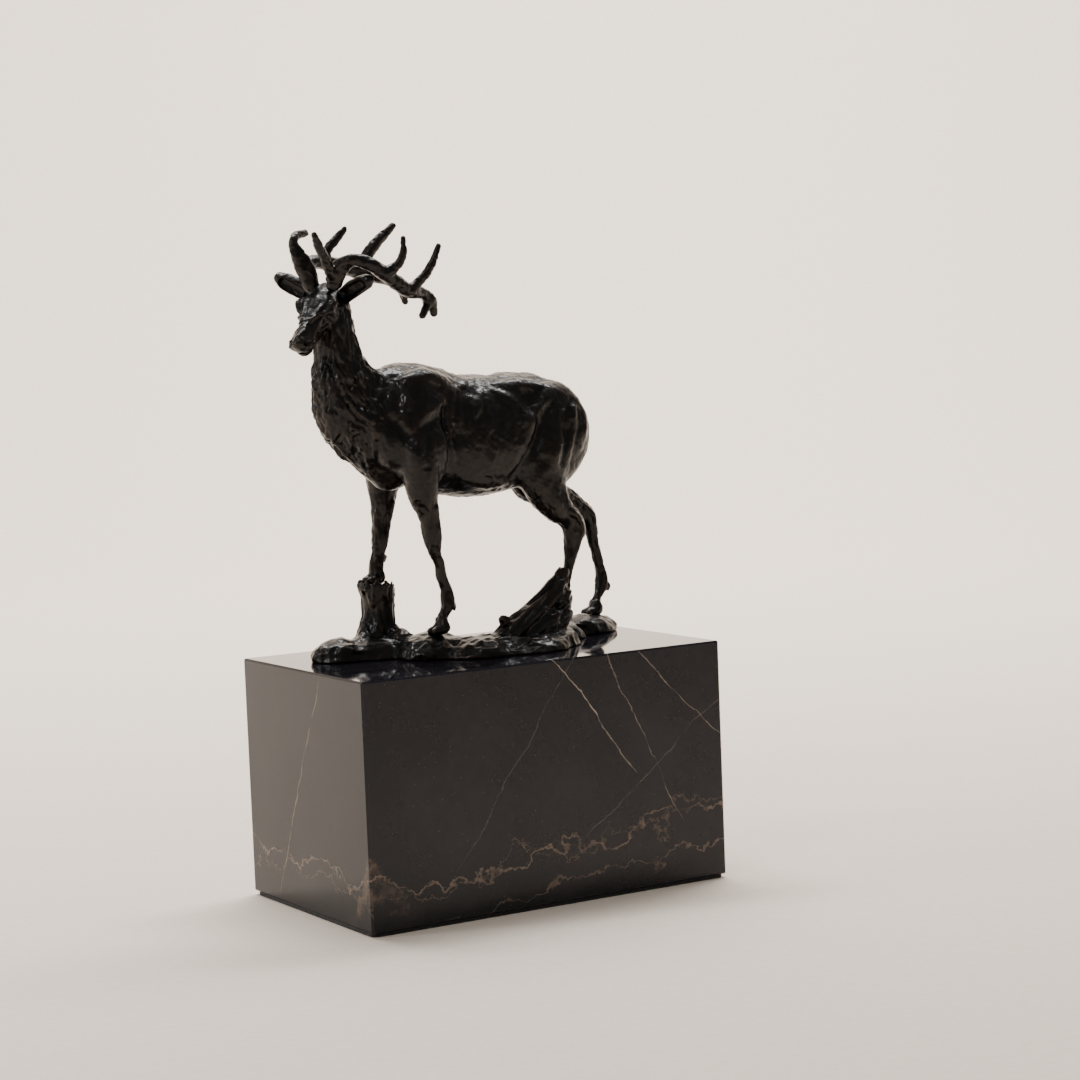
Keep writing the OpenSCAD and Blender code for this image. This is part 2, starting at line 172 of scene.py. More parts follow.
class Clay:
    """A block of modelling clay: signed distances to its surface, in mm, negative inside."""

    FAR = 6.0

    def __init__(self, low: Row, high: Row, step: float) -> None:
        """Sets out an empty grid between two corners, with its points step apart."""
        self.step = step
        self.low = np.array(low, float)
        count = np.ceil((np.array(high, float) - self.low) / step).astype(int) + 1
        self.distance = np.full(count, self.FAR, np.float32)
        self.ticks = [self.low[axis] + step * np.arange(count[axis]) for axis in range(3)]

    def window(self, low: np.ndarray, high: np.ndarray) -> Window:
        """Gives the part of the grid between two corners."""
        count = self.distance.shape
        first = np.clip(np.floor((low - self.low) / self.step).astype(int), 0, count)
        last = np.clip(np.ceil((high - self.low) / self.step).astype(int) + 1, 0, count)
        return tuple(slice(a, max(a, b)) for a, b in zip(first, last))

    def axes(self, window: Window) -> tuple[np.ndarray, np.ndarray, np.ndarray]:
        """Gives the x, y and z of a window's points, ready to be broadcast."""
        x, y, z = (ticks[part].astype(np.float32) for ticks, part in zip(self.ticks, window))
        return x[:, None, None], y[None, :, None], z[None, None, :]

    def press(self, window: Window, form: np.ndarray, soft: float, carve: bool = False) -> None:
        """Adds a form to the clay, or cuts it away, with a soft join.

        Args:
            window: The part of the grid that the form covers.
            form: The form's own distances there.
            soft: Width of the join in mm.
            carve: True to cut the form out.
        """
        clay = -self.distance[window] if carve else self.distance[window]
        mix = np.clip(0.5 + 0.5 * (clay - form) / max(soft, 1e-3), 0, 1)
        joined = clay * (1 - mix) + form * mix - soft * mix * (1 - mix)
        self.distance[window] = -joined if carve else joined

    def chain(self, rows: Rows, soft: float = 1.0, flat: float = 1.0, carve: bool = False,
              steps: int = 5, reach: float = 6.0) -> None:
        """Presses on a smooth limb of balls.

        Args:
            rows: x, y, z and radius of each ball.
            soft: Width of the join in mm.
            flat: How much thinner the limb is from side to side than from front to back.
            carve: True to cut the limb out.
            steps: How many balls to make between two rows.
            reach: How far outside the limb its distances are worked out.
        """
        balls = curve(rows, steps)
        margin = balls[:, 3].max() + soft + reach
        window = self.window(balls[:, :3].min(0) - margin, balls[:, :3].max(0) + margin)
        x, y, z = self.axes(window)
        form = np.full(self.distance[window].shape, self.FAR, np.float32)
        for start, end in zip(balls, balls[1:]):
            near = max(start[3], end[3]) + soft + reach
            part = self.window(np.minimum(start, end)[:3] - near, np.maximum(start, end)[:3] + near)
            local = tuple(slice(p.start - w.start, p.stop - w.start) for p, w in zip(part, window))
            lx, ly, lz = x[local[0]] - start[0], y[:, local[1]] - start[1], z[:, :, local[2]] - start[2]
            along = end[:3] - start[:3]
            share = (lx * along[0] + ly * along[1] + lz * along[2]) / max(along @ along, 1e-9)
            share = np.clip(share, 0, 1).astype(np.float32)
            gap = np.sqrt((lx - share * along[0]) ** 2 + ((ly - share * along[1]) / flat) ** 2
                          + (lz - share * along[2]) ** 2) - (start[3] + share * (end[3] - start[3]))
            form[local] = np.minimum(form[local], gap * flat)
        self.press(window, form, soft, carve)

    def egg(self, centre: Row, radii: Row, soft: float = 1.0, turn: np.ndarray | None = None,
            carve: bool = False) -> None:
        """Presses on an egg shape, or cuts one out.

        Args:
            centre: Its middle.
            radii: Its three half sizes.
            soft: Width of the join in mm.
            turn: A matrix whose columns are its own axes.
            carve: True to cut it out.
        """
        centre = np.array(centre, float)
        radii = np.array(radii, float)
        margin = radii.max() + soft + self.FAR
        window = self.window(centre - margin, centre + margin)
        x, y, z = (value - middle for value, middle in zip(self.axes(window), centre))
        if turn is not None:
            x, y, z = (turn[0, i] * x + turn[1, i] * y + turn[2, i] * z for i in range(3))
        size = np.sqrt((x / radii[0]) ** 2 + (y / radii[1]) ** 2 + (z / radii[2]) ** 2)
        slope = np.sqrt((x / radii[0] ** 2) ** 2 + (y / radii[1] ** 2) ** 2 + (z / radii[2] ** 2) ** 2)
        self.press(window, size * (size - 1) / np.maximum(slope, 1e-6), soft, carve)

    def barrel(self, sections: Rows, fullness: float) -> None:
        """Presses on the trunk.

        Args:
            sections: x, top, bottom, half width and height share of the widest place.
            fullness: 2 for oval sections, more for squarer ones.
        """
        rows = curve(sections, 8)
        low = np.array([rows[0, 0], MIDDLE_Y - rows[:, 3].max(), rows[:, 2].min()]) - 9
        high = np.array([rows[-1, 0], MIDDLE_Y + rows[:, 3].max(), rows[:, 1].max()]) + 9
        window = self.window(low, high)
        x, y, z = self.axes(window)
        top, bottom, half, share = (np.interp(x.ravel(), rows[:, 0], rows[:, column])[:, None, None]
                                    .astype(np.float32) for column in (1, 2, 3, 4))
        middle = bottom + (top - bottom) * share
        tall = np.where(z > middle, top - middle, middle - bottom)
        size = (np.abs((y - MIDDLE_Y) / half) ** fullness
                + np.abs((z - middle) / tall) ** fullness) ** (1 / fullness)
        form = (size - 1) * (0.5 * np.minimum(half, tall) + 0.5 * half) * 0.9
        past = np.maximum(rows[0, 0] - x, x - rows[-1, 0])
        form = np.where(past > 0, np.hypot(np.maximum(form, 0), past), form)
        self.press(window, form.astype(np.float32), 0.01)

    def trim_below(self, height: float) -> None:
        """Cuts the clay off flat at a height."""
        x, y, z = self.axes(tuple(slice(0, n) for n in self.distance.shape))
        self.distance = np.maximum(self.distance, height - z).astype(np.float32)

    def sample(self, points: np.ndarray) -> np.ndarray:
        """Reads the distance at places between the grid's points."""
        spot = (np.asarray(points, float) - self.low) / self.step
        spot = np.clip(spot, 0, np.array(self.distance.shape) - 1.001)
        cell = spot.astype(int)
        part = spot - cell
        total = 0.0
        for corner in product((0, 1), repeat=3):
            weight = np.prod(np.where(corner, part, 1 - part), axis=1)
            i, j, k = (cell + np.array(corner)).T
            total = total + weight * self.distance[i, j, k]
        return total

    def land(self, start: np.ndarray, aim: np.ndarray, lift: float = 0.0) -> np.ndarray:
        """Moves places along their directions until they meet the clay.

        Args:
            start: Places outside the clay.
            aim: The direction for each.
            lift: How far short of the surface to stop.
        Returns:
            The places on the surface.
        """
        spot = np.array(start, float)
        for _ in range(40):
            gap = self.sample(spot)
            spot += aim * np.clip(gap * 0.8, -1.0, 3.0)[:, None]
        return spot - aim * lift

    def roughen(self, depth: Callable[[np.ndarray], np.ndarray], band: float = 1.5) -> None:
        """Raises and lowers the surface.

        Args:
            depth: Gives how far to raise the surface, in mm, at rows of places.
            band: Only points this close to the surface are changed.
        """
        near = np.nonzero(np.abs(self.distance) < band)
        points = np.stack([ticks[index] for ticks, index in zip(self.ticks, near)], 1)
        self.distance[near] -= depth(points).astype(np.float32)

    def skin(self) -> "Skin":
        """Gives the clay's surface as a mesh of triangles."""
        grid = openvdb.FloatGrid(self.FAR)
        grid.copyFromArray(np.clip(self.distance, -self.FAR, self.FAR))
        points, quads = grid.convertToQuads(isovalue=0.0)
        triangles = np.vstack([quads[:, [0, 1, 2]], quads[:, [0, 2, 3]]]).astype(np.int64)
        label = islands(len(points), edges_of(triangles))
        triangles = triangles[label[triangles[:, 0]] == np.bincount(label).argmax()]
        used, triangles = np.unique(triangles, return_inverse=True)
        return Skin(self.low + points[used].astype(float) * self.step, triangles.reshape(-1, 3))


def hand_in(name: str, mesh: bpy.types.Mesh, finish: Material, nodes: Sequence[str]) -> bpy.types.Object:
    """Makes a mesh an object that stands for CAD nodes.

    Args:
        name: The piece's name.
        mesh: Its mesh, in metres and in the CAD frame.
        finish: Its material.
        nodes: The CAD nodes that it stands for.
    Returns:
        The object.
    """
    mesh.name = name
    if not mesh.materials:
        mesh.materials.append(finish)
    piece = bpy.data.objects.new(name, mesh)
    bpy.context.collection.objects.link(piece)
    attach(piece, "root")
    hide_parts(*nodes)
    log.info("%s: %d faces", name, len(mesh.polygons))
    return piece


class Skin:
    """A mesh of triangles with four values at each vertex: its smooth normal and its relief.

    The relief is 1 on ridges and -1 in hollows. The normals are kept when the skin is cut, so
    that two castings shade as one surface where they meet.
    """

    RELIEF_GAIN = 14.0
    SNAP = 0.04                     # a cut keeps this far from every vertex, in mm

    def __init__(self, points: np.ndarray, triangles: np.ndarray, values: np.ndarray | None = None,
                 seams: int | None = None) -> None:
        """Keeps the mesh, and works out its values unless they are given."""
        self.points = points
        self.triangles = triangles
        self.values = self.find_values() if values is None else values
        self.outer_triangles = len(triangles) if seams is None else seams

    def find_values(self) -> np.ndarray:
        """Works out each vertex's normal, and how much it stands out from its neighbours."""
        count = len(self.points)
        corners = self.points[self.triangles]
        face = np.cross(corners[:, 1] - corners[:, 0], corners[:, 2] - corners[:, 0])
        normal = np.zeros((count, 3))
        for axis in range(3):
            for corner in range(3):
                normal[:, axis] += np.bincount(self.triangles[:, corner], face[:, axis], count)
        normal /= np.maximum(np.linalg.norm(normal, axis=1, keepdims=True), 1e-12)
        edges = edges_of(self.triangles)
        degree = np.maximum(np.bincount(edges[:, 0], minlength=count), 1)

        def around(values: np.ndarray) -> np.ndarray:
            """Averages a value over each vertex's neighbours."""
            return np.bincount(edges[:, 0], values[edges[:, 1]], count) / degree

        nearby = np.stack([around(self.points[:, axis]) for axis in range(3)], 1)
        bulge = ((self.points - nearby) * normal).sum(1)
        for _ in range(3):
            bulge = 0.5 * bulge + 0.5 * around(bulge)
        return np.column_stack([normal, np.tanh(bulge * self.RELIEF_GAIN)])

    def settle(self, side: np.ndarray) -> np.ndarray:
        """Gives loose scraps of either side to the other, so that each side is in one piece."""
        edges = edges_of(self.triangles)
        for sign in (-1, 1):
            held = side * sign > 0
            label = islands(len(side), edges[held[edges].all(1)])
            main = np.bincount(label[held]).argmax()
            side = np.where(held & (label != main), -side, side)
        return side

    def split(self, side: np.ndarray) -> tuple["Skin", "Skin"]:
        """Cuts the mesh along the line where a value at its vertices crosses zero.

        Args:
            side: The value at each vertex.
        Returns:
            The closed part where the value is negative, and the closed rest.
        """
        side = self.settle(np.where(side < 0, -1, 1) * np.maximum(np.abs(side), self.SNAP))
        triangles = self.triangles
        inside = side[triangles] < 0
        total = inside.sum(1)
        keep, drop = triangles[total == 3], triangles[total == 0]
        crossed = triangles[(total == 1) | (total == 2)]
        lone = side[crossed] < 0
        lone = np.where(lone.sum(1, keepdims=True) == 1, lone, ~lone)
        first = lone.argmax(1)
        rows = np.arange(len(crossed))
        a, b, c = (crossed[rows, (first + shift) % 3] for shift in range(3))
        ends = np.sort(np.vstack([np.stack([a, b], 1), np.stack([a, c], 1)]), axis=1)
        unique, index = np.unique(ends, axis=0, return_inverse=True)
        index = index.ravel() + len(self.points)
        share = (side[unique[:, 0]] / (side[unique[:, 0]] - side[unique[:, 1]]))[:, None]
        points, values = (
            np.vstack([known, known[unique[:, 0]] * (1 - share) + known[unique[:, 1]] * share])
            for known in (self.points, self.values))
        ab, ac = index[:len(crossed)], index[len(crossed):]
        tip = np.stack([a, ab, ac], 1)
        base = np.vstack([np.stack([ab, b, c], 1), np.stack([ab, c, ac], 1)])
        tip_in = side[a] < 0
        base_in = np.concatenate([~tip_in, ~tip_in])
        return tuple(Skin.closed(points, values, np.vstack(parts)) for parts in (
            (keep, tip[tip_in], base[base_in]), (drop, tip[~tip_in], base[~base_in])))

    @staticmethod
    def closed(points: np.ndarray, values: np.ndarray, triangles: np.ndarray) -> "Skin":
        """Drops unused vertices, and closes each open rim with a fan."""
        used, triangles = np.unique(triangles, return_inverse=True)
        triangles = triangles.reshape(-1, 3)
        points, values = points[used], values[used]
        outer = len(triangles)
        edges = edges_of(triangles)
        count = len(points)
        code = edges[:, 0] * count + edges[:, 1]
        back = edges[:, 1] * count + edges[:, 0]
        rim = edges[~np.isin(code, back)]
        following = dict(zip(rim[:, 1].tolist(), rim[:, 0].tolist()))
        hubs, fans = [], []
        while following:
            start, spot = following.popitem()
            loop = [start]
            while spot != start and spot in following:
                loop.append(spot)
                spot = following.pop(spot)
            hub = count + len(hubs)
            hubs.append(points[loop].mean(0))
            fans += [(here, there, hub) for here, there in zip(loop, loop[1:] + loop[:1])]
        if hubs:
            points = np.vstack([points, hubs])
            values = np.vstack([values, np.tile([0.0, 0.0, 1.0, 0.0], (len(hubs), 1))])
            triangles = np.vstack([triangles, fans])
        return Skin(points, triangles, values, outer)

    def piece(self, name: str, finish: Material, replaces: Sequence[str]) -> bpy.types.Object:
        """Makes the mesh a Blender object that stands for CAD nodes.

        Args:
            name: The piece's name.
            finish: Its material.
            replaces: The CAD nodes that it stands for.
        Returns:
            The object, in metres and in the CAD frame.
        """
        mesh = bpy.data.meshes.new(name)
        placed = (self.points + [0, 0, BLOCK_TOP]) * MM
        mesh.vertices.add(len(placed))
        mesh.vertices.foreach_set("co", placed.astype(np.float32).ravel())
        mesh.loops.add(self.triangles.size)
        mesh.loops.foreach_set("vertex_index", self.triangles.ravel().astype(np.int32))
        mesh.polygons.add(len(self.triangles))
        mesh.polygons.foreach_set("loop_start", np.arange(0, self.triangles.size, 3, dtype=np.int32))
        mesh.update(calc_edges=True)
        relief = self.values[:, 3].astype(np.float32)
        mesh.attributes.new("relief", "FLOAT", "POINT").data.foreach_set("value", relief)
        mesh.validate()
        mesh.shade_smooth()
        corners = self.values[self.triangles, :3]
        seams = self.points[self.triangles[self.outer_triangles:]]
        flat = np.cross(seams[:, 1] - seams[:, 0], seams[:, 2] - seams[:, 0])
        corners[self.outer_triangles:] = flat[:, None, :]
        corners /= np.maximum(np.linalg.norm(corners, axis=2, keepdims=True), 1e-9)
        mesh.normals_split_custom_set(corners.reshape(-1, 3).tolist())
        return hand_in(name, mesh, finish, replaces)


# ---------------------------------------------------------------- finishes


def linear(colour: str) -> tuple[float, float, float, float]:
    """Turns an sRGB hex colour into the linear one that shaders take."""
    values = [int(colour[i:i + 2], 16) / 255 for i in (1, 3, 5)]
    return tuple(v / 12.92 if v <= 0.04045 else ((v + 0.055) / 1.055) ** 2.4 for v in values) + (1.0,)


def add_node(tree: Tree, kind: str, settings: dict | None = None,
             links: dict | None = None) -> Node:
    """Adds a node with its settings and links.

    Args:
        tree: The tree that it goes in.
        kind: The node's type name.
        settings: Properties by name, and input values by socket name or number.
        links: The output that feeds each input, by socket name or number.
    Returns:
        The node.
    """
    node = tree.nodes.new(kind)
    for key, value in (settings or {}).items():
        if isinstance(key, str) and hasattr(node, key):
            setattr(node, key, value)
        else:
            node.inputs[key].default_value = value
    for key, output in (links or {}).items():
        tree.links.new(output, node.inputs[key])
    return node


def ramp(tree: Tree, source: Socket, stops: Sequence[tuple]) -> Socket:
    """Turns a value into a colour through a ramp of (place, hex colour) stops."""
    node = add_node(tree, "ShaderNodeValToRGB", links={0: source})
    elements = node.color_ramp.elements
    for spare in range(len(stops) - 2):
        elements.new(0.5)
    for element, (place, colour) in zip(elements, stops):
        element.position = place
        element.color = linear(colour)
    return node.outputs["Color"]


@dataclass(frozen=True)
class Finish:
    """What every finish starts from: a principled shader on an empty material."""

    name: str

    def start(self, settings: dict) -> tuple[Tree, Node, Socket]:
        """Makes the material.

        Args:
            settings: Values for the shader's own sockets.
        Returns:
            Its tree, its shader and the object's coordinates.
        """
        material = bpy.data.materials.new(self.name)
        material.use_nodes = True
        tree = material.node_tree
        tree.nodes.clear()
        shader = add_node(tree, "ShaderNodeBsdfPrincipled", settings)
        add_node(tree, "ShaderNodeOutputMaterial", links={"Surface": shader.outputs[0]})
        place = add_node(tree, "ShaderNodeTexCoord").outputs["Object"]
        return tree, shader, place

    def bump(self, tree: Tree, shader: Node, height: Socket,
             depth_mm: float, under: Socket | None = None) -> Socket:
        """Feeds a height into the shader as bumps of a real depth."""
        links = {"Height": height} | ({"Normal": under} if under else {})
        node = add_node(tree, "ShaderNodeBump", {"Strength": 1.0, "Distance": depth_mm * MM}, links)
        tree.links.new(node.outputs[0], shader.inputs["Normal"])
        return node.outputs[0]


@dataclass(frozen=True)
class PatinatedBronze(Finish):
    """Cast and chased bronze under a near-black brown patina and wax.

    The patina is dark in the hollows and rubbed to a warm brown on what stands out. The
    wax over it gives small, sharp, white lights.
    """

    name: str = "patinated_bronze"
    hollow: str = "#040404"
    patina: str = "#0a0808"
    rubbed: str = "#23170f"

    def make(self) -> Material:
        """Builds the material."""
        tree, shader, place = self.start({"Metallic": 0.75, "Roughness": 0.42, "Coat Weight": 0.35,
                                          "Coat Roughness": 0.18, "Coat IOR": 1.5})
        relief = add_node(tree, "ShaderNodeAttribute", {"attribute_name": "relief"}).outputs["Fac"]
        # Blotches of thicker and thinner patina, about 12 mm across
        blotch = add_node(tree, "ShaderNodeTexNoise", {
            "Scale": 1 / (12 * MM), "Detail": 5.0, "Roughness": 0.6}, {"Vector": place}).outputs["Fac"]
        worn = add_node(tree, "ShaderNodeMath", {"operation": "MULTIPLY_ADD", 1: 0.42},
                        {0: relief, 2: blotch}).outputs[0]
        colour = ramp(tree, worn, ((0.22, self.hollow), (0.5, self.patina), (0.86, self.rubbed)))
        tree.links.new(colour, shader.inputs["Base Color"])
        # Fine grain of the casting, about 0.5 mm, under soft tool marks about 2 mm across
        grain = add_node(tree, "ShaderNodeTexNoise", {"Scale": 1 / (0.5 * MM), "Detail": 3.0},
                         {"Vector": place}).outputs["Fac"]
        marks = add_node(tree, "ShaderNodeTexNoise", {
            "Scale": 1 / (2.2 * MM), "Detail": 4.0, "Distortion": 1.2}, {"Vector": place}).outputs["Fac"]
        rough = add_node(tree, "ShaderNodeMapRange", {"To Min": 0.32, "To Max": 0.56}, {0: marks}).outputs[0]
        tree.links.new(rough, shader.inputs["Roughness"])
        under = self.bump(tree, shader, marks, 0.22)
        self.bump(tree, shader, grain, 0.035, under)
        return bpy.data.materials[self.name]


@dataclass(frozen=True)
class Vein:
    """A sheet of calcite in the stone: a wandering plane, seen as a line on each face."""

    place: Row                      # a point on it, in mm from the middle of the block's foot
    across: Row                     # the direction through it
    thick: float                    # in mm
    wander: float                   # how far it strays from a plane, in mm
    reach: float                    # how far it runs from its point, in mm
    strength: float
    tint: str


@dataclass(frozen=True)
class PolishedMarble(Finish):
    """Dark grey limestone marble, polished until it mirrors, with thin beige veins.

    Near its foot the veins gather in two ragged bands of beige and rust.
    """

    name: str = "dark_marble"
    ground: str = "#111117"
    cloud: str = "#211f26"
    speck: str = "#57504c"
    veins: tuple[Vein, ...] = (
        Vein((20, -53, 78), (0.77, 0.25, 0.58), 0.35, 1.6, 36, 1.0, "#a3978c"),
        Vein((44, -53, 66), (0.87, -0.25, 0.41), 0.3, 2.2, 46, 0.75, "#8f8277"),
        Vein((62, -53, 81), (0.66, 0.3, 0.68), 0.3, 1.8, 34, 0.7, "#8f8277"),
        Vein((-12, -53, 66), (0.8, -0.2, -0.56), 0.35, 2.5, 60, 0.35, "#6f655d"),
        Vein((50, -53, 52), (0.58, 0.3, -0.76), 0.35, 2.0, 55, 0.4, "#776b62"),
        Vein((-84, 4, 56), (0.1, 0.89, 0.43), 0.5, 2.2, 62, 0.8, "#86705c"),
        Vein((-84, 30, 70), (0.2, 0.97, 0.2), 0.5, 2.5, 60, 0.25, "#6d513e"),
        Vein((0, 53, 55), (0.85, 0.3, 0.45), 0.5, 2.2, 60, 0.8, "#8f8277"),
        Vein((84, 10, 60), (0.3, 0.75, -0.6), 0.5, 2.2, 60, 0.7, "#8b7a6a"),
        Vein((0, 0, 28), (-0.08, -0.1, 0.99), 0.9, 9.0, 140, 0.7, "#857264"),
        Vein((0, 0, 25), (-0.12, -0.05, 0.99), 0.6, 12.0, 140, 0.5, "#746252"),
        Vein((30, 0, 9), (-0.09, 0.02, 0.99), 0.7, 10.0, 110, 0.6, "#7d6a5c"),
        Vein((-84, -50, 18), (0.5, 0.7, 0.5), 3.0, 10.0, 24, 0.45, "#75604f"),
    )

    def draw_vein(self, tree: Tree, place: Socket, vein: Vein, seed: float) -> Socket:
        """Draws one vein.

        Args:
            tree: The material's tree.
            place: The object's coordinates.
            vein: What is drawn.
            seed: Moves its random wandering.
        Returns:
            Its strength, 0 away from it.
        """
        def noise(size_mm: float, detail: float, shift: float) -> Socket:
            """Gives a noise whose lumps are this large."""
            moved = add_node(tree, "ShaderNodeVectorMath", {
                "operation": "ADD", 1: (seed + shift, shift, -seed)}, {0: place}).outputs[0]
            return add_node(tree, "ShaderNodeTexNoise", {
                "Scale": 1 / (size_mm * MM), "Detail": detail, "Roughness": 0.62},
                {"Vector": moved}).outputs["Fac"]

        away = add_node(tree, "ShaderNodeVectorMath", {
            "operation": "SUBTRACT", 1: [v * MM for v in vein.place]}, {0: place}).outputs[0]
        flat = add_node(tree, "ShaderNodeVectorMath", {
            "operation": "DOT_PRODUCT", 1: unit(vein.across).tolist()}, {0: away}).outputs["Value"]
        stray = add_node(tree, "ShaderNodeMapRange", {
            "To Min": -2 * vein.wander * MM, "To Max": 2 * vein.wander * MM},
            {0: noise(24, 6.0, 0.0)}).outputs[0]
        gap = add_node(tree, "ShaderNodeMath", {"operation": "ADD"}, {0: flat, 1: stray}).outputs[0]
        gap = add_node(tree, "ShaderNodeMath", {"operation": "ABSOLUTE"}, {0: gap}).outputs[0]
        line = add_node(tree, "ShaderNodeMapRange", {
            "From Min": vein.thick * MM, "From Max": vein.thick * 0.25 * MM}, {0: gap}).outputs[0]
        distance = add_node(tree, "ShaderNodeVectorMath", {"operation": "LENGTH"},
                            {0: away}).outputs["Value"]
        near = add_node(tree, "ShaderNodeMapRange", {
            "From Min": vein.reach * MM, "From Max": vein.reach * 0.7 * MM, "To Max": vein.strength},
            {0: distance}).outputs[0]
        broken = add_node(tree, "ShaderNodeMapRange", {
            "From Min": 0.36, "From Max": 0.56, "To Min": 0.12}, {0: noise(9, 4.0, 3.0)}).outputs[0]
        share = add_node(tree, "ShaderNodeMath", {"operation": "MULTIPLY"}, {0: line, 1: near}).outputs[0]
        return add_node(tree, "ShaderNodeMath", {"operation": "MULTIPLY"}, {0: share, 1: broken}).outputs[0]

    def make(self) -> Material:
        """Builds the material."""
        tree, shader, place = self.start({"Roughness": 0.05, "IOR": 1.45, "Specular IOR Level": 0.36})
        cloud = add_node(tree, "ShaderNodeTexNoise", {
            "Scale": 1 / (30 * MM), "Detail": 10.0, "Roughness": 0.66}, {"Vector": place}).outputs["Fac"]
        colour = ramp(tree, cloud, ((0.38, self.ground), (0.72, self.cloud)))
        # Small pale specks of shell, 0.3 mm or so
        cells = add_node(tree, "ShaderNodeTexVoronoi", {"Scale": 1 / (3.2 * MM)}, {"Vector": place})
        dot = add_node(tree, "ShaderNodeMapRange", {"From Min": 0.09, "From Max": 0.05, "To Max": 0.5},
                       {0: cells.outputs["Distance"]}).outputs[0]
        colour = add_node(tree, "ShaderNodeMix", {"data_type": "RGBA", 7: linear(self.speck)},
                          {0: dot, 6: colour}).outputs[2]
        for seed, vein in enumerate(self.veins):
            share = self.draw_vein(tree, place, vein, 0.37 * seed)
            colour = add_node(tree, "ShaderNodeMix", {"data_type": "RGBA", 7: linear(vein.tint)},
                              {0: share, 6: colour}).outputs[2]
        tree.links.new(colour, shader.inputs["Base Color"])
        return bpy.data.materials[self.name]


@dataclass(frozen=True)
class PlainFinish(Finish):
    """A finish of two close colours with a fine grain, for the felt and the fixings."""

    name: str
    dark: str
    light: str
    grain_mm: float
    depth_mm: float
    metallic: float
    roughness: float
    sheen: float = 0.0

    def make(self) -> Material:
        """Builds the material."""
        tree, shader, place = self.start({"Metallic": self.metallic, "Roughness": self.roughness,
                                          "Sheen Weight": self.sheen})
        grain = add_node(tree, "ShaderNodeTexNoise", {"Scale": 1 / (self.grain_mm * MM), "Detail": 4.0},
                         {"Vector": place}).outputs["Fac"]
        tree.links.new(ramp(tree, grain, ((0.3, self.dark), (0.7, self.light))), shader.inputs["Base Color"])
        self.bump(tree, shader, grain, self.depth_mm)
        return bpy.data.materials[self.name]


BRONZE = PatinatedBronze()
MARBLE = PolishedMarble()
FELT = PlainFinish("black_wool_felt", "#070707", "#1c1b1a", 0.5, 0.15, 0.0, 0.95, 0.4)
ZINC = PlainFinish("zinc_plated_steel", "#8b8f92", "#aeb2b4", 1.5, 0.01, 1.0, 0.32)
TURNED_BRONZE = PlainFinish("turned_bronze", "#7d5a30", "#96703f", 1.2, 0.01, 1.0, 0.3)


# ---------------------------------------------------------------- the stag


@dataclass(frozen=True)
class Stroke:
    """A stroke of the modeller's tool on the stag's flank, the same on both sides."""

    route: Rows                     # x and height of its points
    radius: float
    height: float                   # how far it stands proud in mm, or below 0 how deep it is cut
    soft: float = 2.0


def tapered(points: np.ndarray, radius: float) -> list[list[float]]:
    """Gives a chain of balls that thins out to both ends."""
    share = np.linspace(0, 1, len(points))
    return [[*point, radius * (0.35 + 0.65 * math.sin(math.pi * s) ** 0.6)]
            for point, s in zip(points, share)]


def chain_gap(points: np.ndarray, rows: Rows, steps: int = 4) -> np.ndarray:
    """Gives the distance from places to the surface of a chain of balls."""
    balls = curve(rows, steps)
    gap = np.full(len(points), 1e3)
    for start, end in zip(balls, balls[1:]):
        along = end[:3] - start[:3]
        share = np.clip((points - start[:3]) @ along / max(along @ along, 1e-9), 0, 1)
        radius = start[3] + share * (end[3] - start[3])
        gap = np.minimum(gap, np.linalg.norm(points - start[:3] - share[:, None] * along, axis=1) - radius)
    return gap


def beyond(points: np.ndarray, place: Row, direction: Row) -> np.ndarray:
    """Gives how far places lie past a plane."""
    return (points - np.array(place, float)) @ unit(direction)


@dataclass
class Leg:
    """One leg: its chain of balls, its hoof's direction and the seam where it joins the trunk."""

    name: str
    side: Side
    rows: Rows                      # from the trunk down to the hoof
    toe: Row                        # direction of the toes
    seam: tuple[Row, Row]           # a point on the seam, and the direction down the leg
    flat: float = 0.88
    stifle: Rows = ()               # the thigh's front edge, above the knee

    def press(self, clay: Clay) -> None:
        """Models the leg, with its tendons, cloven hoof and dewclaws."""
        clay.chain(self.rows, 3.0, self.flat)
        if self.stifle:
            clay.chain(self.stifle, 3.0, self.flat)
        toe = unit(self.toe)
        across = np.cross(toe, [0, 0, 1])
        across /= np.linalg.norm(across)
        ankle, foot = np.array(self.rows[-3][:3]), np.array(self.rows[-1][:3])
        for spread in (-1, 1):
            heel = foot + across * spread * 1.6 - toe * 0.6
            tip = foot + toe * 3.6 + across * spread * 1.9 - [0, 0, 1.6]
            clay.chain([[*(heel + [0, 0, 2.2]), 2.0], [*(heel - [0, 0, 0.6]), 2.5], [*tip, 1.7]], 0.7)
            claw = ankle - toe * 2.2 + across * spread * 1.4 - [0, 0, 1.0]
            clay.chain([[*claw, 1.3], [*(claw - [0, 0, 1.5]), 0.9]], 0.8)
        for spread in (-1, 1):
            tendon = [[*(np.array(row[:3]) + across * spread * row[3] * 0.75 - toe * row[3] * 0.35),
                       max(row[3] * 0.3, 0.7)] for row in self.rows[3:-1]]
            clay.chain(tendon, 0.8)

    def holds(self, points: np.ndarray) -> np.ndarray:
        """Gives values that are negative on this leg."""
        place, direction = self.seam
        apart = (points[:, 1] - MIDDLE_Y) * self.side.value
        middle = (self.rows[0][0] + self.rows[-1][0]) / 2
        return -np.minimum.reduce([beyond(points, place, direction), apart - 4,
                                   24 - np.abs(points[:, 0] - middle)])


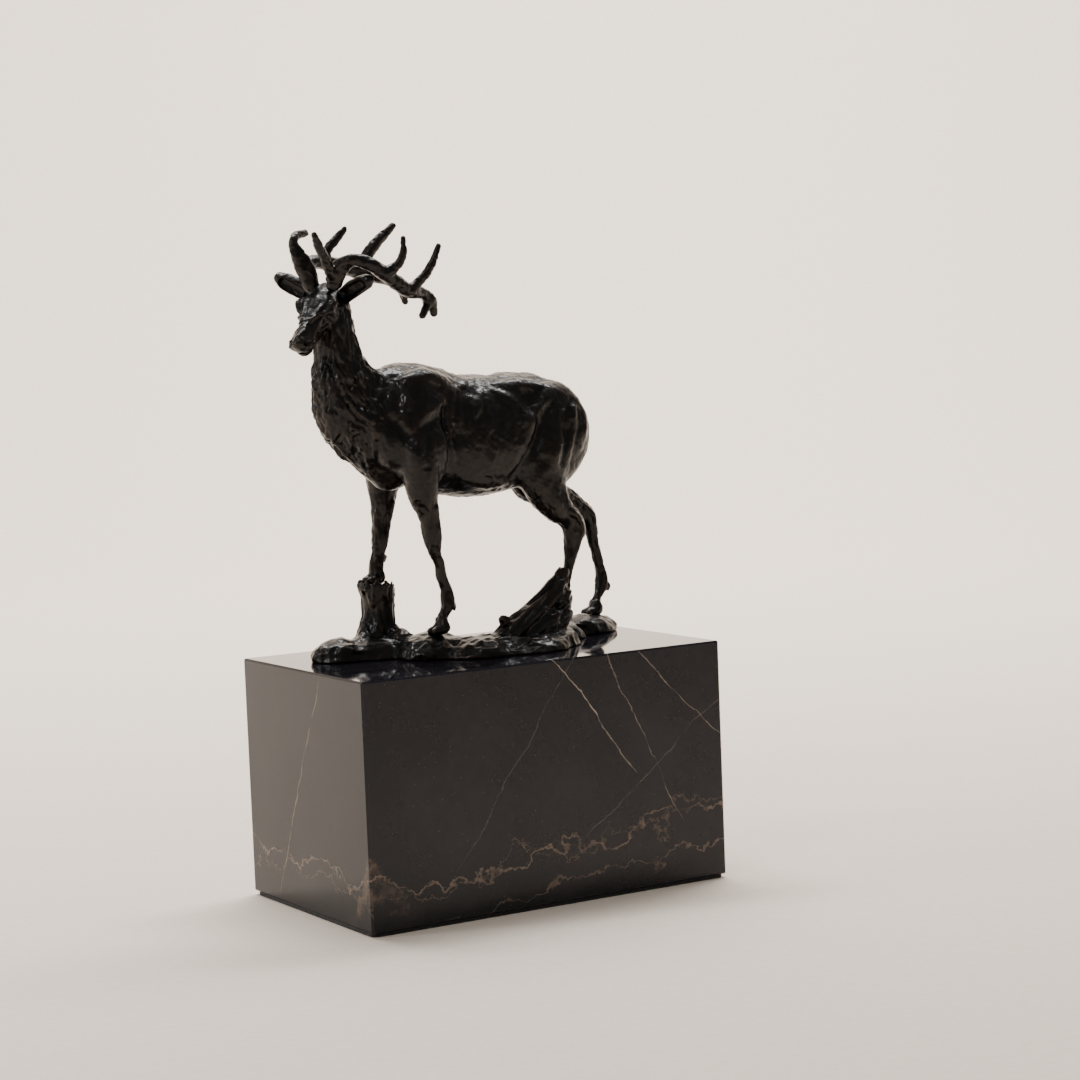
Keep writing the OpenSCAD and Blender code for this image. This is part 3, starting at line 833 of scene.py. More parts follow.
@dataclass
class Body:
    """The trunk, neck, legs and tail, modelled in one block of clay."""

    fullness: float = 2.3
    trunk: Rows = ((-57, 106, 93, 5, .5), (-52, 112, 86, 9.5, .5), (-43, 117.4, 78, 14.5, .5),
                   (-32, 120.1, 71, 17, .48), (-18, 119.3, 66.3, 18, .47), (-6, 115, 64, 19, .45),
                   (6, 114, 64, 19.5, .45), (18, 114.5, 65.5, 19, .46), (28, 114, 69.5, 17.5, .5),
                   (37, 111.5, 75, 16, .5), (45, 106.5, 81, 13, .5), (51, 99, 87, 6, .5))
    # x, offset from the middle plane, height, and the three half sizes and tilt of each muscle
    muscles: Rows = ((-31, 12.5, 99, 9, 5.5, 19, 12), (-38, 11, 88, 10, 6, 10, 0),
                     (-27, 12.5, 83, 7, 6, 11, 0), (39, 9, 91, 14, 8.5, 18, -15),
                     (32, 11, 81, 11, 6.5, 15, -35), (42.5, 8, 82, 7.5, 6, 13, 20))
    neck: Rows = ((-48.5, 4, 99, 15.2), (-53.5, 4, 107, 13.4), (-56.5, 3.5, 115, 11.5), (-58.8, 3, 124, 9.4),
                  (-60.5, 2, 134, 7.9), (-61.5, 2, 142, 7.5), (-62.5, 3, 145.5, 6.4))
    throat: Rows = ((-62, 2, 114, 6.6), (-62.3, 2.5, 106, 6.6), (-60.5, 3, 98, 6.4), (-55.5, 3.5, 91.5, 6))
    brisket: Rows = ((-49.5, 4, 90, 8), (-44.5, 4, 82.5, 7.6), (-38, 4, 75.5, 7))
    tail: Rows = ((47, 4, 101, 3.2), (52.3, 4, 94, 3.4), (53.5, 4, 86, 3.2), (52.3, 4, 79, 2.8),
                  (49.8, 4, 73.5, 1.6))
    neck_seam: tuple[Row, Row] = ((-49, 4, 102), (-0.87, 0, 0.49))
    girth_seam: float = 4.0         # x where the trunk's front and rear castings meet
    grid: tuple[Row, Row] = ((-80, -26, -1), (80, 36, 152))
    tail_seam: float = 52.0         # the tail is cast apart behind this x
    tail_hair: float = 1.6          # how far its locks reach out of its chain
    legs: tuple[Leg, ...] = (
        Leg("foreleg_left", Side.LEFT,
            ((-30, -11, 86, 8.5), (-30.5, -11, 76, 7.8), (-30, -10.5, 68, 6.6), (-28.2, -10, 61.5, 5),
             (-27, -10, 56.5, 4.2), (-26.2, -9.7, 50, 4), (-25.3, -9.5, 44, 2.8), (-23.2, -9, 39, 2.2),
             (-22.1, -8.7, 34, 2.3), (-20.1, -8.3, 27.5, 2.6), (-19.4, -8, 21.5, 3.1), (-21.3, -8, 17.5, 2.3),
             (-23.2, -8, 12.5, 2.7)), (-1, -0.1, 0), ((-27, -11, 68), (0, 0, -1))),
        Leg("foreleg_right", Side.RIGHT,
            ((-33, 18, 86, 8.5), (-33, 18, 76, 7.6), (-33.4, 17.5, 67.5, 6.2), (-34.2, 17, 63, 5.2),
             (-35.3, 17, 56, 4.2), (-36.4, 17, 48, 3.7), (-37.3, 17, 42, 2.7), (-38.5, 17, 37.5, 3),
             (-39, 17, 33, 2.6)), (-1, -0.2, 0), ((-34, 18, 68), (0, 0, -1))),
        Leg("hindleg_left", Side.LEFT,
            ((29, -8, 80, 9.5), (30, -8.5, 70, 8), (33, -9, 61, 6.8), (37, -9, 55.5, 5.6),
             (41, -9, 51.5, 5.2), (42.5, -9, 47, 5), (41.8, -9, 43, 4), (40.6, -9, 38, 3.1),
             (39, -9, 31.5, 2.3), (37.8, -9, 26.5, 2), (36.2, -9, 20.5, 2.5), (34.5, -9, 15, 2.1),
             (33, -9, 9.5, 2.5)), (-1, 0, 0), ((30, -8, 64), (0.45, 0, -0.89)),
            stifle=((25, -7.5, 76, 7), (25.5, -8, 69.5, 7.2), (28.8, -8.5, 62.8, 6.4), (33, -9, 57.5, 5.4))),
        Leg("hindleg_right", Side.RIGHT,
            ((31.5, 12.5, 84, 8.5), (32, 13, 75, 8.4), (33.8, 13.5, 67.7, 7.5), (40, 14.2, 63.6, 6.4),
             (53.5, 16.5, 60, 4.7), (60.5, 17, 55.5, 3.9), (64.8, 17, 51, 4.4), (67, 17, 46, 3.3),
             (68.1, 17, 39.5, 2.5), (69.5, 17, 34, 2.3), (71.4, 17, 26, 2.5), (71.8, 17, 20.5, 3),
             (69.8, 17, 15.5, 2), (67.5, 17, 9.8, 2.5)), (-1, 0, 0), ((44, 16, 66), (0.7, 0, -0.7))),
    )
    strokes: tuple[Stroke, ...] = (
        # Shoulder blade, the groove behind the upper arm, and the arm's own muscles
        Stroke(((-38, 112), (-28, 114), (-20, 112), (-16.5, 107), (-17.5, 101)), 3.8, 1.0),
        Stroke(((-15, 112), (-18, 104), (-20, 96), (-20, 88), (-19, 79)), 2.6, -1.5, 1.6),
        Stroke(((-12.5, 107), (-14.5, 98), (-15, 88), (-14, 79)), 1.6, -0.8),
        Stroke(((-17, 108), (-17.5, 100), (-17.8, 91), (-16.8, 80)), 1.4, 0.5, 1.2),
        Stroke(((-19, 106), (-25, 103), (-33, 97), (-38, 91)), 2.6, 0.7),
        Stroke(((-35.5, 108), (-37.5, 102), (-38, 95)), 1.5, 0.5),
        Stroke(((-26, 97), (-24, 90), (-23.5, 83), (-23, 74)), 4.0, 0.9),
        Stroke(((-29, 93), (-31, 86), (-31.5, 77)), 2.2, -0.7),
        Stroke(((-37, 92), (-35, 84), (-33.5, 75)), 3.5, 0.8),
        # Where the neck is set on the shoulders
        Stroke(((-45, 114), (-48, 110.5), (-50.5, 107), (-54, 103)), 2.0, -0.9),
        Stroke(((-43, 112), (-45.5, 108), (-48, 103), (-51, 98)), 1.3, -0.5),
        Stroke(((-52, 110), (-49.5, 102), (-48, 95), (-43, 88)), 3.5, 0.8),
        Stroke(((-45, 101), (-41, 94), (-37, 88)), 2.2, -0.7),
        # Hip bone, flank hollow, fold of the flank, and the thigh
        Stroke(((7, 109), (15, 108.5), (24, 108), (34, 106.5)), 3.0, 0.7),
        Stroke(((35, 106), (30, 103), (25, 99), (20, 95)), 3.2, 1.0),
        Stroke(((24, 106), (20.5, 103), (17, 100)), 5.5, -1.5, 3.5),
        Stroke(((30, 101), (26, 94), (21, 86), (16, 78), (12, 71)), 3.2, -1.6, 2.4),
        Stroke(((5, 107), (13, 102), (18, 97), (19.5, 91), (17, 84), (12, 77)), 2.6, 0.8),
        Stroke(((34, 103), (34, 95), (33, 88), (30, 79), (27, 72)), 4.5, 1.0),
        Stroke(((36.5, 98), (38, 92), (37, 84), (33.5, 76)), 1.8, -0.6),
        Stroke(((39, 102), (42, 97), (43, 91), (40, 84), (36, 76)), 2.6, 0.7),
        Stroke(((44.5, 98), (44, 90), (41, 81)), 1.6, -0.6),
        Stroke(((47.5, 98), (47, 90), (44, 80)), 2.6, 0.7),
        Stroke(((43, 103), (40, 100), (38, 96)), 1.8, -0.5),
        # Small folds and tool marks on the barrel
        Stroke(((-1, 107), (-4, 102), (-6, 97)), 1.3, 0.45),
        Stroke(((-9, 109), (-10.5, 103), (-11, 96)), 1.5, -0.35),
        Stroke(((-13, 74), (-2, 70), (10, 70)), 2.2, 0.4),
        Stroke(((2, 92), (1, 89.5), (2.5, 87.5)), 0.9, -0.3, 0.8),
    )

    def press_neck(self, clay: Clay) -> None:
        """Models the smooth mass of the neck and throat."""
        clay.chain(self.neck, 6.0, 0.85)
        clay.chain(self.throat, 5.0)

    def lay_strokes(self, clay: Clay) -> None:
        """Lays and cuts the tool strokes on both flanks."""
        for side in Side:
            for stroke in self.strokes:
                route = curve(stroke.route, 4)
                outside = np.full(len(route), MIDDLE_Y + 26 * side.value)
                start = np.stack([route[:, 0], outside, route[:, 1]], 1)
                aim = np.tile([0.0, -side.value, 0.0], (len(route), 1))
                cut = stroke.height < 0
                lift = (stroke.radius - abs(stroke.height)) * (1 if cut else -1)
                landed = clay.land(start, aim, lift)
                clay.chain(tapered(landed, stroke.radius), stroke.soft, carve=cut, steps=1, reach=3.0)

    def lay_mane(self, clay: Clay, rows: int = 19, per_row: int = 24, seed: int = 5) -> None:
        """Lays locks of hair down the neck and throat.

        Args:
            clay: The clay, with the neck in it.
            rows: How many rows of locks there are from chest to jaw.
            per_row: How many locks go round the neck.
            seed: Seed for their small differences.
        """
        chance = np.random.default_rng(seed)
        spine = curve(self.neck, 10)[:, :3]
        for row in range(rows):
            for place in range(per_row):
                root = 0.08 + 0.95 * (row + chance.uniform(0, 0.9)) / rows
                angle = 2 * math.pi * (place + chance.uniform(-0.4, 0.4) + 0.5 * (row % 2)) / per_row
                length = chance.uniform(0.13, 0.24)
                radius = chance.uniform(0.6, 1.1) * (1.35 - 0.5 * root)
                if root < 0.35 and math.cos(angle) < -0.2:
                    continue                # the withers stay smooth
                drift = chance.uniform(-0.25, 0.25) + 0.35 * (root - 0.45) * math.copysign(1, math.sin(angle))
                starts, aims = [], []
                for step in np.linspace(0, 1, 7):
                    along = np.clip(root - length * step, 0, 1) * (len(spine) - 1.001)
                    index = int(along)
                    centre = spine[index] + (spine[index + 1] - spine[index]) * (along - index)
                    axis = unit(spine[min(index + 2, len(spine) - 1)] - spine[max(index - 2, 0)])
                    front = np.cross(axis, [0, 1, 0])
                    turn = angle + drift * step + 0.12 * math.sin(5 * step + place)
                    out = math.cos(turn) * front + math.sin(turn) * np.array([0, 1, 0])
                    starts.append(centre + out * 26)
                    aims.append(-out)
                landed = clay.land(np.array(starts), np.array(aims), -radius * 0.58)
                if np.linalg.norm(np.diff(landed, axis=0), axis=1).max() < 5:
                    clay.chain(tapered(landed, radius), 0.45, steps=1, reach=2.0)

    def lay_ruff(self, clay: Clay, seed: int = 11) -> None:
        """Lays the shaggy locks that hang over the chest, seen from the front and the sides."""
        chance = np.random.default_rng(seed)
        for row in range(5):
            for place in range(11):
                angle = math.radians(-75 + 15 * place + chance.uniform(-5, 5))
                height = 108 - 5.5 * row + chance.uniform(-2, 2)
                length = chance.uniform(6, 10)
                out = np.array([-math.cos(angle), math.sin(angle), 0.0])
                route = [np.array([-48, 4, height]) + out * 34 - [0, 0, length * s] + [1.5 * s, 0, 0]
                         for s in np.linspace(0, 1, 6)]
                radius = chance.uniform(1.0, 1.6)
                landed = clay.land(np.array(route), np.tile(-out, (6, 1)), -radius * 0.5)
                if np.linalg.norm(np.diff(landed, axis=0), axis=1).max() < 5:
                    clay.chain(tapered(landed, radius), 0.6, steps=1, reach=2.0)

    def lay_tail(self, clay: Clay) -> None:
        """Models the short tail with its locks."""
        clay.chain(self.tail, 2.0, 1.3)
        for offset in (-2.4, -0.8, 0.9, 2.5):
            rows = [[x + 2.4, y + offset * (1 - 0.1 * i), z - 1, 1.1 - 0.12 * i]
                    for i, (x, y, z, r) in enumerate(self.tail)]
            clay.chain(rows, 0.6)

    def modelling_marks(self, points: np.ndarray) -> np.ndarray:
        """Gives the marks of thumb and tool: long across the ribs, streaked down neck and legs."""
        trunk = points * [1 / 5.0, 1 / 5.0, 1 / 7.0]
        streak = points * [1 / 1.5, 1 / 1.5, 1 / 7.0]
        low = np.clip((72 - points[:, 2]) / 10, 0, 1)
        high = np.clip((-42 - points[:, 0]) / 10, 0, 1)
        upright = np.maximum(low, high)
        broad = 0.38 * value_noise(points / 6.0, 3) + 0.16 * ridged(trunk, 4) * (1 - upright)
        fine = 0.14 * value_noise(points / 1.6, 6) + 0.08 * value_noise(points / 0.9, 7)
        return broad * (1 - 0.5 * upright) + (0.28 * ridged(streak, 5) - 0.1) * upright + fine - 0.05

    def model(self, step: float) -> Clay:
        """Models the body in clay."""
        clay = Clay(*self.grid, step)
        clay.barrel(self.trunk, self.fullness)
        for x, offset, z, a, b, c, tilt in self.muscles:
            for side in Side:
                clay.egg((x, MIDDLE_Y + side.value * offset, z), (a, b, c), 5.0, turn_about_y(tilt))
        self.press_neck(clay)
        clay.chain(self.brisket, 4.0)
        for leg in self.legs:
            leg.press(clay)
        self.lay_tail(clay)
        self.lay_strokes(clay)
        self.lay_ruff(clay)
        self.lay_mane(clay)
        clay.roughen(self.modelling_marks)
        return clay

    def build(self, step: float, finish: Material, head_seam: tuple[Row, Row]) -> None:
        """Models the body and cuts it into its castings."""
        skin = self.model(step).skin()
        _, skin = skin.split(-beyond(skin.points, *head_seam))
        neck, skin = skin.split(-beyond(skin.points, *self.neck_seam))
        neck.piece("neck_casting", finish, ["neck"])
        for leg in self.legs:
            part, skin = skin.split(leg.holds(skin.points))
            part.piece(f"{leg.name}_casting", finish, [leg.name])
        tail_gap = np.maximum(chain_gap(skin.points, self.tail) - self.tail_hair,
                              self.tail_seam - skin.points[:, 0])
        part, skin = skin.split(tail_gap)
        part.piece("tail_casting", finish, ["tail"])
        front, rear = skin.split(skin.points[:, 0] - self.girth_seam)
        front.piece("torso_front_casting", finish, ["torso", "core_plug"])
        rear.piece("torso_rear_casting", finish, ["torso"])


@dataclass
class Head:
    """The head, ears and antlers, modelled in a finer block of clay."""

    poll: Row = (-64.5, 3.0, 152.5)
    nose: Row = (-83.0, -10.3, 131.5)
    tilt: float = -5.0              # how far the crown leans to its left, in degrees
    seam: tuple[Row, Row] = ((-62.5, 2, 139.5), (-0.8, 0, 0.6))
    grid: tuple[Row, Row] = ((-92, -24, 120), (-8, 32, 182))
    # The antlers reach back over the neck: all clay behind this x or above this height is theirs
    antlers_behind: float = -44.0
    antlers_above: float = 151.5
    # Along the head, across it towards its left, up from the brow, and radius
    skull: Rows = ((-1, 0, -5.8, 5.4), (3, 0, -5.4, 6.0), (8, 0, -4.6, 5.9), (14, 0, -3.8, 4.7),
                   (20, 0, -3.4, 3.7), (26, 0, -3.1, 3.6), (29.4, 0, -3.0, 3.6))
    jaw: Rows = ((3, 0, -9, 5.0), (10, 0, -9.5, 4.2), (18, 0, -8.2, 3.4), (25, 0, -7.4, 3.0),
                 (29, 0, -7.2, 2.6))
    ear: Rows = ((0, 6, -5, 2.2), (-0.6, 9, -4.0, 3.2), (-1.6, 12.5, -2.2, 3.8), (-2.4, 16.5, -0.2, 3.6),
                 (-2.9, 19, 1.2, 2.7))
    beams: tuple[Rows, Rows] = (
        ((-63, -3.5, 153, 2.8), (-62.5, -5.5, 159, 2.6), (-60, -9, 162, 2.5), (-56, -11, 162.5, 2.5),
         (-50, -12, 160.5, 2.7), (-44, -11, 157, 2.9), (-37, -9, 153, 3), (-30, -6.5, 149.5, 2.8),
         (-22, -3, 148.5, 2.4), (-17, -1, 145, 2.2), (-15.5, 0, 140.5, 1.6)),
        ((-67.5, 7.5, 153.5, 2.8), (-66, 12, 158, 2.7), (-64, 16, 162, 2.7), (-58, 19, 163, 2.8),
         (-48, 22, 161.5, 3.1), (-38, 24, 159.2, 3.1), (-28, 25, 156.8, 3), (-20, 25, 154.2, 2.6),
         (-16.5, 24, 150.5, 2.2), (-15.5, 24, 145.5, 1.3)))
    tines: tuple[tuple[Rows, ...], tuple[Rows, ...]] = (
        (((-62.5, -5, 156, 2.4), (-66, -7.5, 158, 2.2), (-69.5, -10.5, 163, 2), (-73.5, -13, 168.5, 1.8),
          (-76, -15, 172.5, 1.2)),
         ((-43, -11, 157, 2.2), (-38.5, -13, 160, 1.9), (-36.5, -14.5, 164.5, 1.5), (-36.5, -15, 170.5, 1)),
         ((-30, -7, 150, 2), (-23.5, -8, 155.5, 1.9), (-20, -9, 161, 1.6), (-17, -9, 167.5, 1)),
         ((-18, -1.5, 146, 1.9), (-22.5, -3, 139.5, 1.4)),
         ((-61.5, -4, 154, 2.2), (-60, -6.5, 158, 2), (-58.5, -9.5, 161.5, 1.8))),
        (((-67.5, 8, 155, 2.6), (-71, 8, 160, 2.4), (-73.5, 7.5, 166, 2), (-74, 8, 170.5, 1.8),
          (-71.5, 10, 173.4, 1.8), (-66, 13, 174.3, 1.5)),
         ((-56, 19.5, 163, 2.2), (-52.5, 20, 168, 2), (-48.5, 20, 172, 1.8), (-45, 19, 176, 1.1)),
         ((-37, 24, 158.5, 2.3), (-31.5, 24, 166.5, 2.5), (-27, 23, 171.5, 2.2), (-21.5, 21, 177, 1.4)),
         ((-67, 7, 153, 2.6), (-67.5, 6, 158, 2.3), (-69.2, 6.5, 163, 1.8), (-72, 7, 168, 1.3)),
         ((-67.8, 7.5, 153, 2.3), (-70, 7.5, 159, 2.0), (-72, 7.3, 164.5, 1.7))))

    def __post_init__(self) -> None:
        """Works out the head's own directions."""
        self.ahead = unit(np.subtract(self.nose, self.poll))
        level = unit(np.cross([0, 0, 1], self.ahead))
        lean = math.radians(self.tilt)
        self.across = math.cos(lean) * level + math.sin(lean) * np.cross(self.ahead, level)
        self.up = np.cross(self.ahead, self.across)
        self.turn = np.stack([self.ahead, self.across, self.up], 1)

    def at(self, along: float, out: float, high: float) -> np.ndarray:
        """Gives a place in the head's own directions, out being towards its left."""
        return np.array(self.poll) + along * self.ahead + out * self.across + high * self.up

    def rows(self, rows: Rows, side: float = 1.0) -> list[list[float]]:
        """Puts a chain given in the head's own directions in place."""
        return [[*self.at(a, side * b, c), r] for a, b, c, r in rows]

    def press_face(self, clay: Clay) -> None:
        """Models the skull, jaw, eyes, muzzle and mouth."""
        clay.chain(self.rows(self.skull), 2.0)
        clay.chain(self.rows(self.jaw), 2.0)
        clay.egg(self.at(7.5, 0, -4.6), (7.5, 6.9, 3.4), 2.0, self.turn)
        clay.chain(self.rows(((8, 0, -1.6, 2.8), (16, 0, -1.2, 2.1), (22, 0, -1.3, 1.9), (27, 0, -1.5, 1.9),
                              (30.6, 0, -2.4, 1.9))), 1.5)
        clay.egg(self.at(30.6, 0, -3.6), (1.7, 5.0, 3.4), 0.8, self.turn)
        clay.egg(self.at(29.0, 0, -7.2), (2.6, 3.6, 1.7), 0.8, self.turn)
        for side in (-1, 1):
            clay.egg(self.at(5, side * 5.0, -7.5), (6, 3.2, 4.4), 2.0, self.turn)
            clay.egg(self.at(8.5, side * 5.0, -3.2), (5, 3.4, 3.4), 1.5, self.turn)
            clay.chain(self.rows(((16, 1.9, -4.0, 2.7), (22, 1.6, -3.9, 2.4), (28, 2.6, -3.5, 2.4)),
                                 side), 1.5)
            clay.egg(self.at(9.6, side * 8.2, -3.8), (3.0, 1.9, 2.2), 1.2, self.turn, carve=True)
            clay.egg(self.at(9.8, side * 7.0, -3.8), (1.6, 1.4, 1.4), 0.4, self.turn)
            clay.chain(self.rows(((6, 7.2, -2.0, 1.0), (8.5, 7.7, -0.7, 1.2), (11.5, 7.0, -1.0, 1.0),
                                  (13.5, 5.6, -2.2, 0.8)), side), 1.2)
            clay.chain(self.rows(((6.8, 7.3, -4.4, 0.7), (10, 7.4, -5.8, 0.7), (13.5, 5.9, -5.0, 0.6)),
                                 side), 0.9)
            clay.chain(self.rows(((14, 5.8, -3.2, 1.0), (16.5, 5.4, -4.2, 0.7)), side), 0.6, carve=True)
            clay.chain(self.rows(((8, 7.2, -7.0, 1.3), (14, 5.4, -6.6, 1.1), (20, 3.9, -5.6, 0.8)),
                                 side), 1.0)
            clay.chain(self.rows(((10, 6.6, -9.4, 1.1), (16, 4.9, -8.2, 0.9), (21, 4.0, -7.0, 0.6)),
                                 side), 0.8, carve=True)
            clay.chain(self.rows(((30.8, 1.9, -2.0, 0.8), (30.4, 3.5, -1.7, 1.1), (28.8, 4.9, -2.4, 0.8)),
                                 side), 0.5, carve=True)
            clay.chain(self.rows(((31.4, 1.0, -3.8, 0.7), (30.8, 3.4, -4.0, 0.8), (28, 5.2, -3.8, 0.9)),
                                 side), 0.5)
            clay.chain(self.rows(((31.5, 0, -5.9, 0.6), (29.4, 3.4, -5.9, 0.7), (24, 4.1, -5.9, 0.7),
                                  (20, 3.9, -6.2, 0.7), (18.5, 4.0, -7.2, 0.6)), side), 0.4, carve=True)
            clay.chain(self.rows(((5, 3.0, -0.4, 0.8), (9, 4.2, -0.6, 0.9), (14, 3.0, 0.2, 0.8),
                                  (19, 2.3, 0.4, 0.6)), side), 1.2)

    def press_ears(self, clay: Clay) -> None:
        """Models the two cupped ears."""
        for side in (-1, 1):
            rows = self.rows(self.ear, side)
            clay.chain(rows, 0.9)
            hollow = [[*(np.array(row[:3]) + (self.ahead * 0.75 + self.up * 0.35) * row[3]), row[3] * 0.72]
                      for row in rows[1:-1]]
            clay.chain(hollow, 0.5, carve=True)
            for shift in (-0.45, 0.5):
                back = [[*(np.array(row[:3]) - self.ahead * row[3] * 0.8 + self.up * row[3] * shift), 0.45]
                        for row in rows[1:-1]]
                clay.chain(back, 0.4)

    def press_antlers(self, clay: Clay) -> None:
        """Models both antlers, with a burr where each leaves the skull."""
        for beam, tines in zip(self.beams, self.tines):
            clay.chain(beam, 1.4, reach=4.0)
            for tine in tines:
                clay.chain(tine, 1.8, reach=4.0)
            root, after = np.array(beam[0][:3]), np.array(beam[1][:3])
            axis = unit(after - root)
            first = unit(np.cross(axis, [1, 0, 0]))
            second = np.cross(axis, first)
            for bead in range(9):
                angle = 2 * math.pi * bead / 9
                out = math.cos(angle) * first + math.sin(angle) * second
                spot = root + axis * 2.0 + out * beam[0][3] * 0.95
                clay.egg(spot, (0.85, 0.85, 0.85), 0.7)

    def grooves(self, points: np.ndarray) -> np.ndarray:
        """Gives the antlers' gnarled surface and the face's soft tool marks."""
        antler = np.clip((points[:, 2] - 155) / 3, 0, 1)
        antler = np.maximum(antler, np.clip((points[:, 0] + 54) / 3, 0, 1))
        gnarl = 0.22 * ridged(points * [1 / 5.0, 1 / 1.6, 1 / 1.6], 21)
        gnarl = gnarl + 0.12 * value_noise(points / 1.1, 22)
        face = 0.16 * value_noise(points / 2.2, 23) + 0.08 * value_noise(points / 0.9, 24)
        return gnarl * antler + face * (1 - antler) - 0.06

    def holds_antler(self, points: np.ndarray, index: int) -> np.ndarray:
        """Gives values that are negative on one antler."""
        beam = self.beams[index]
        gap = np.minimum.reduce([chain_gap(points, rows) for rows in (beam, *self.tines[index])])
        start = beyond(points, beam[0][:3], np.subtract(beam[1][:3], beam[0][:3]))
        return np.maximum(gap - 1.3, 1.2 - start)

    def holds_ear(self, points: np.ndarray, side: int) -> np.ndarray:
        """Gives values that are negative on one ear."""
        rows = self.rows(self.ear, side)
        direction = np.subtract(rows[-1][:3], rows[0][:3])
        return np.maximum(chain_gap(points, rows) - 1.5, 2.6 - beyond(points, rows[0][:3], direction))

    def model(self, body: Body, step: float) -> Clay:
        """Models the head in clay, on the top of the neck."""
        clay = Clay(*self.grid, step)
        body.press_neck(clay)
        self.press_face(clay)
        body.lay_mane(clay)
        self.press_ears(clay)
        self.press_antlers(clay)
        clay.roughen(self.grooves, 1.0)
        return clay

    def build(self, body: Body, step: float, finish: Material) -> None:
        """Models the head and cuts it into its castings."""
        skin = self.model(body, step).skin()
        skin, _ = skin.split(np.minimum.reduce([
            -beyond(skin.points, *self.seam), self.antlers_behind - skin.points[:, 0],
            self.antlers_above - skin.points[:, 2]]))
        for index, name in enumerate(("left", "right")):
            part, skin = skin.split(self.holds_antler(skin.points, index))
            part.piece(f"antler_{name}_casting", finish, [f"antler_{name}"])
        for side, name in ((1, "left"), (-1, "right")):
            part, skin = skin.split(self.holds_ear(skin.points, side))
            part.piece(f"ear_{name}_casting", finish, [f"ear_{name}"])
        skin.piece("head_casting", finish, ["head"])


# ---------------------------------------------------------------- ground, stump and log


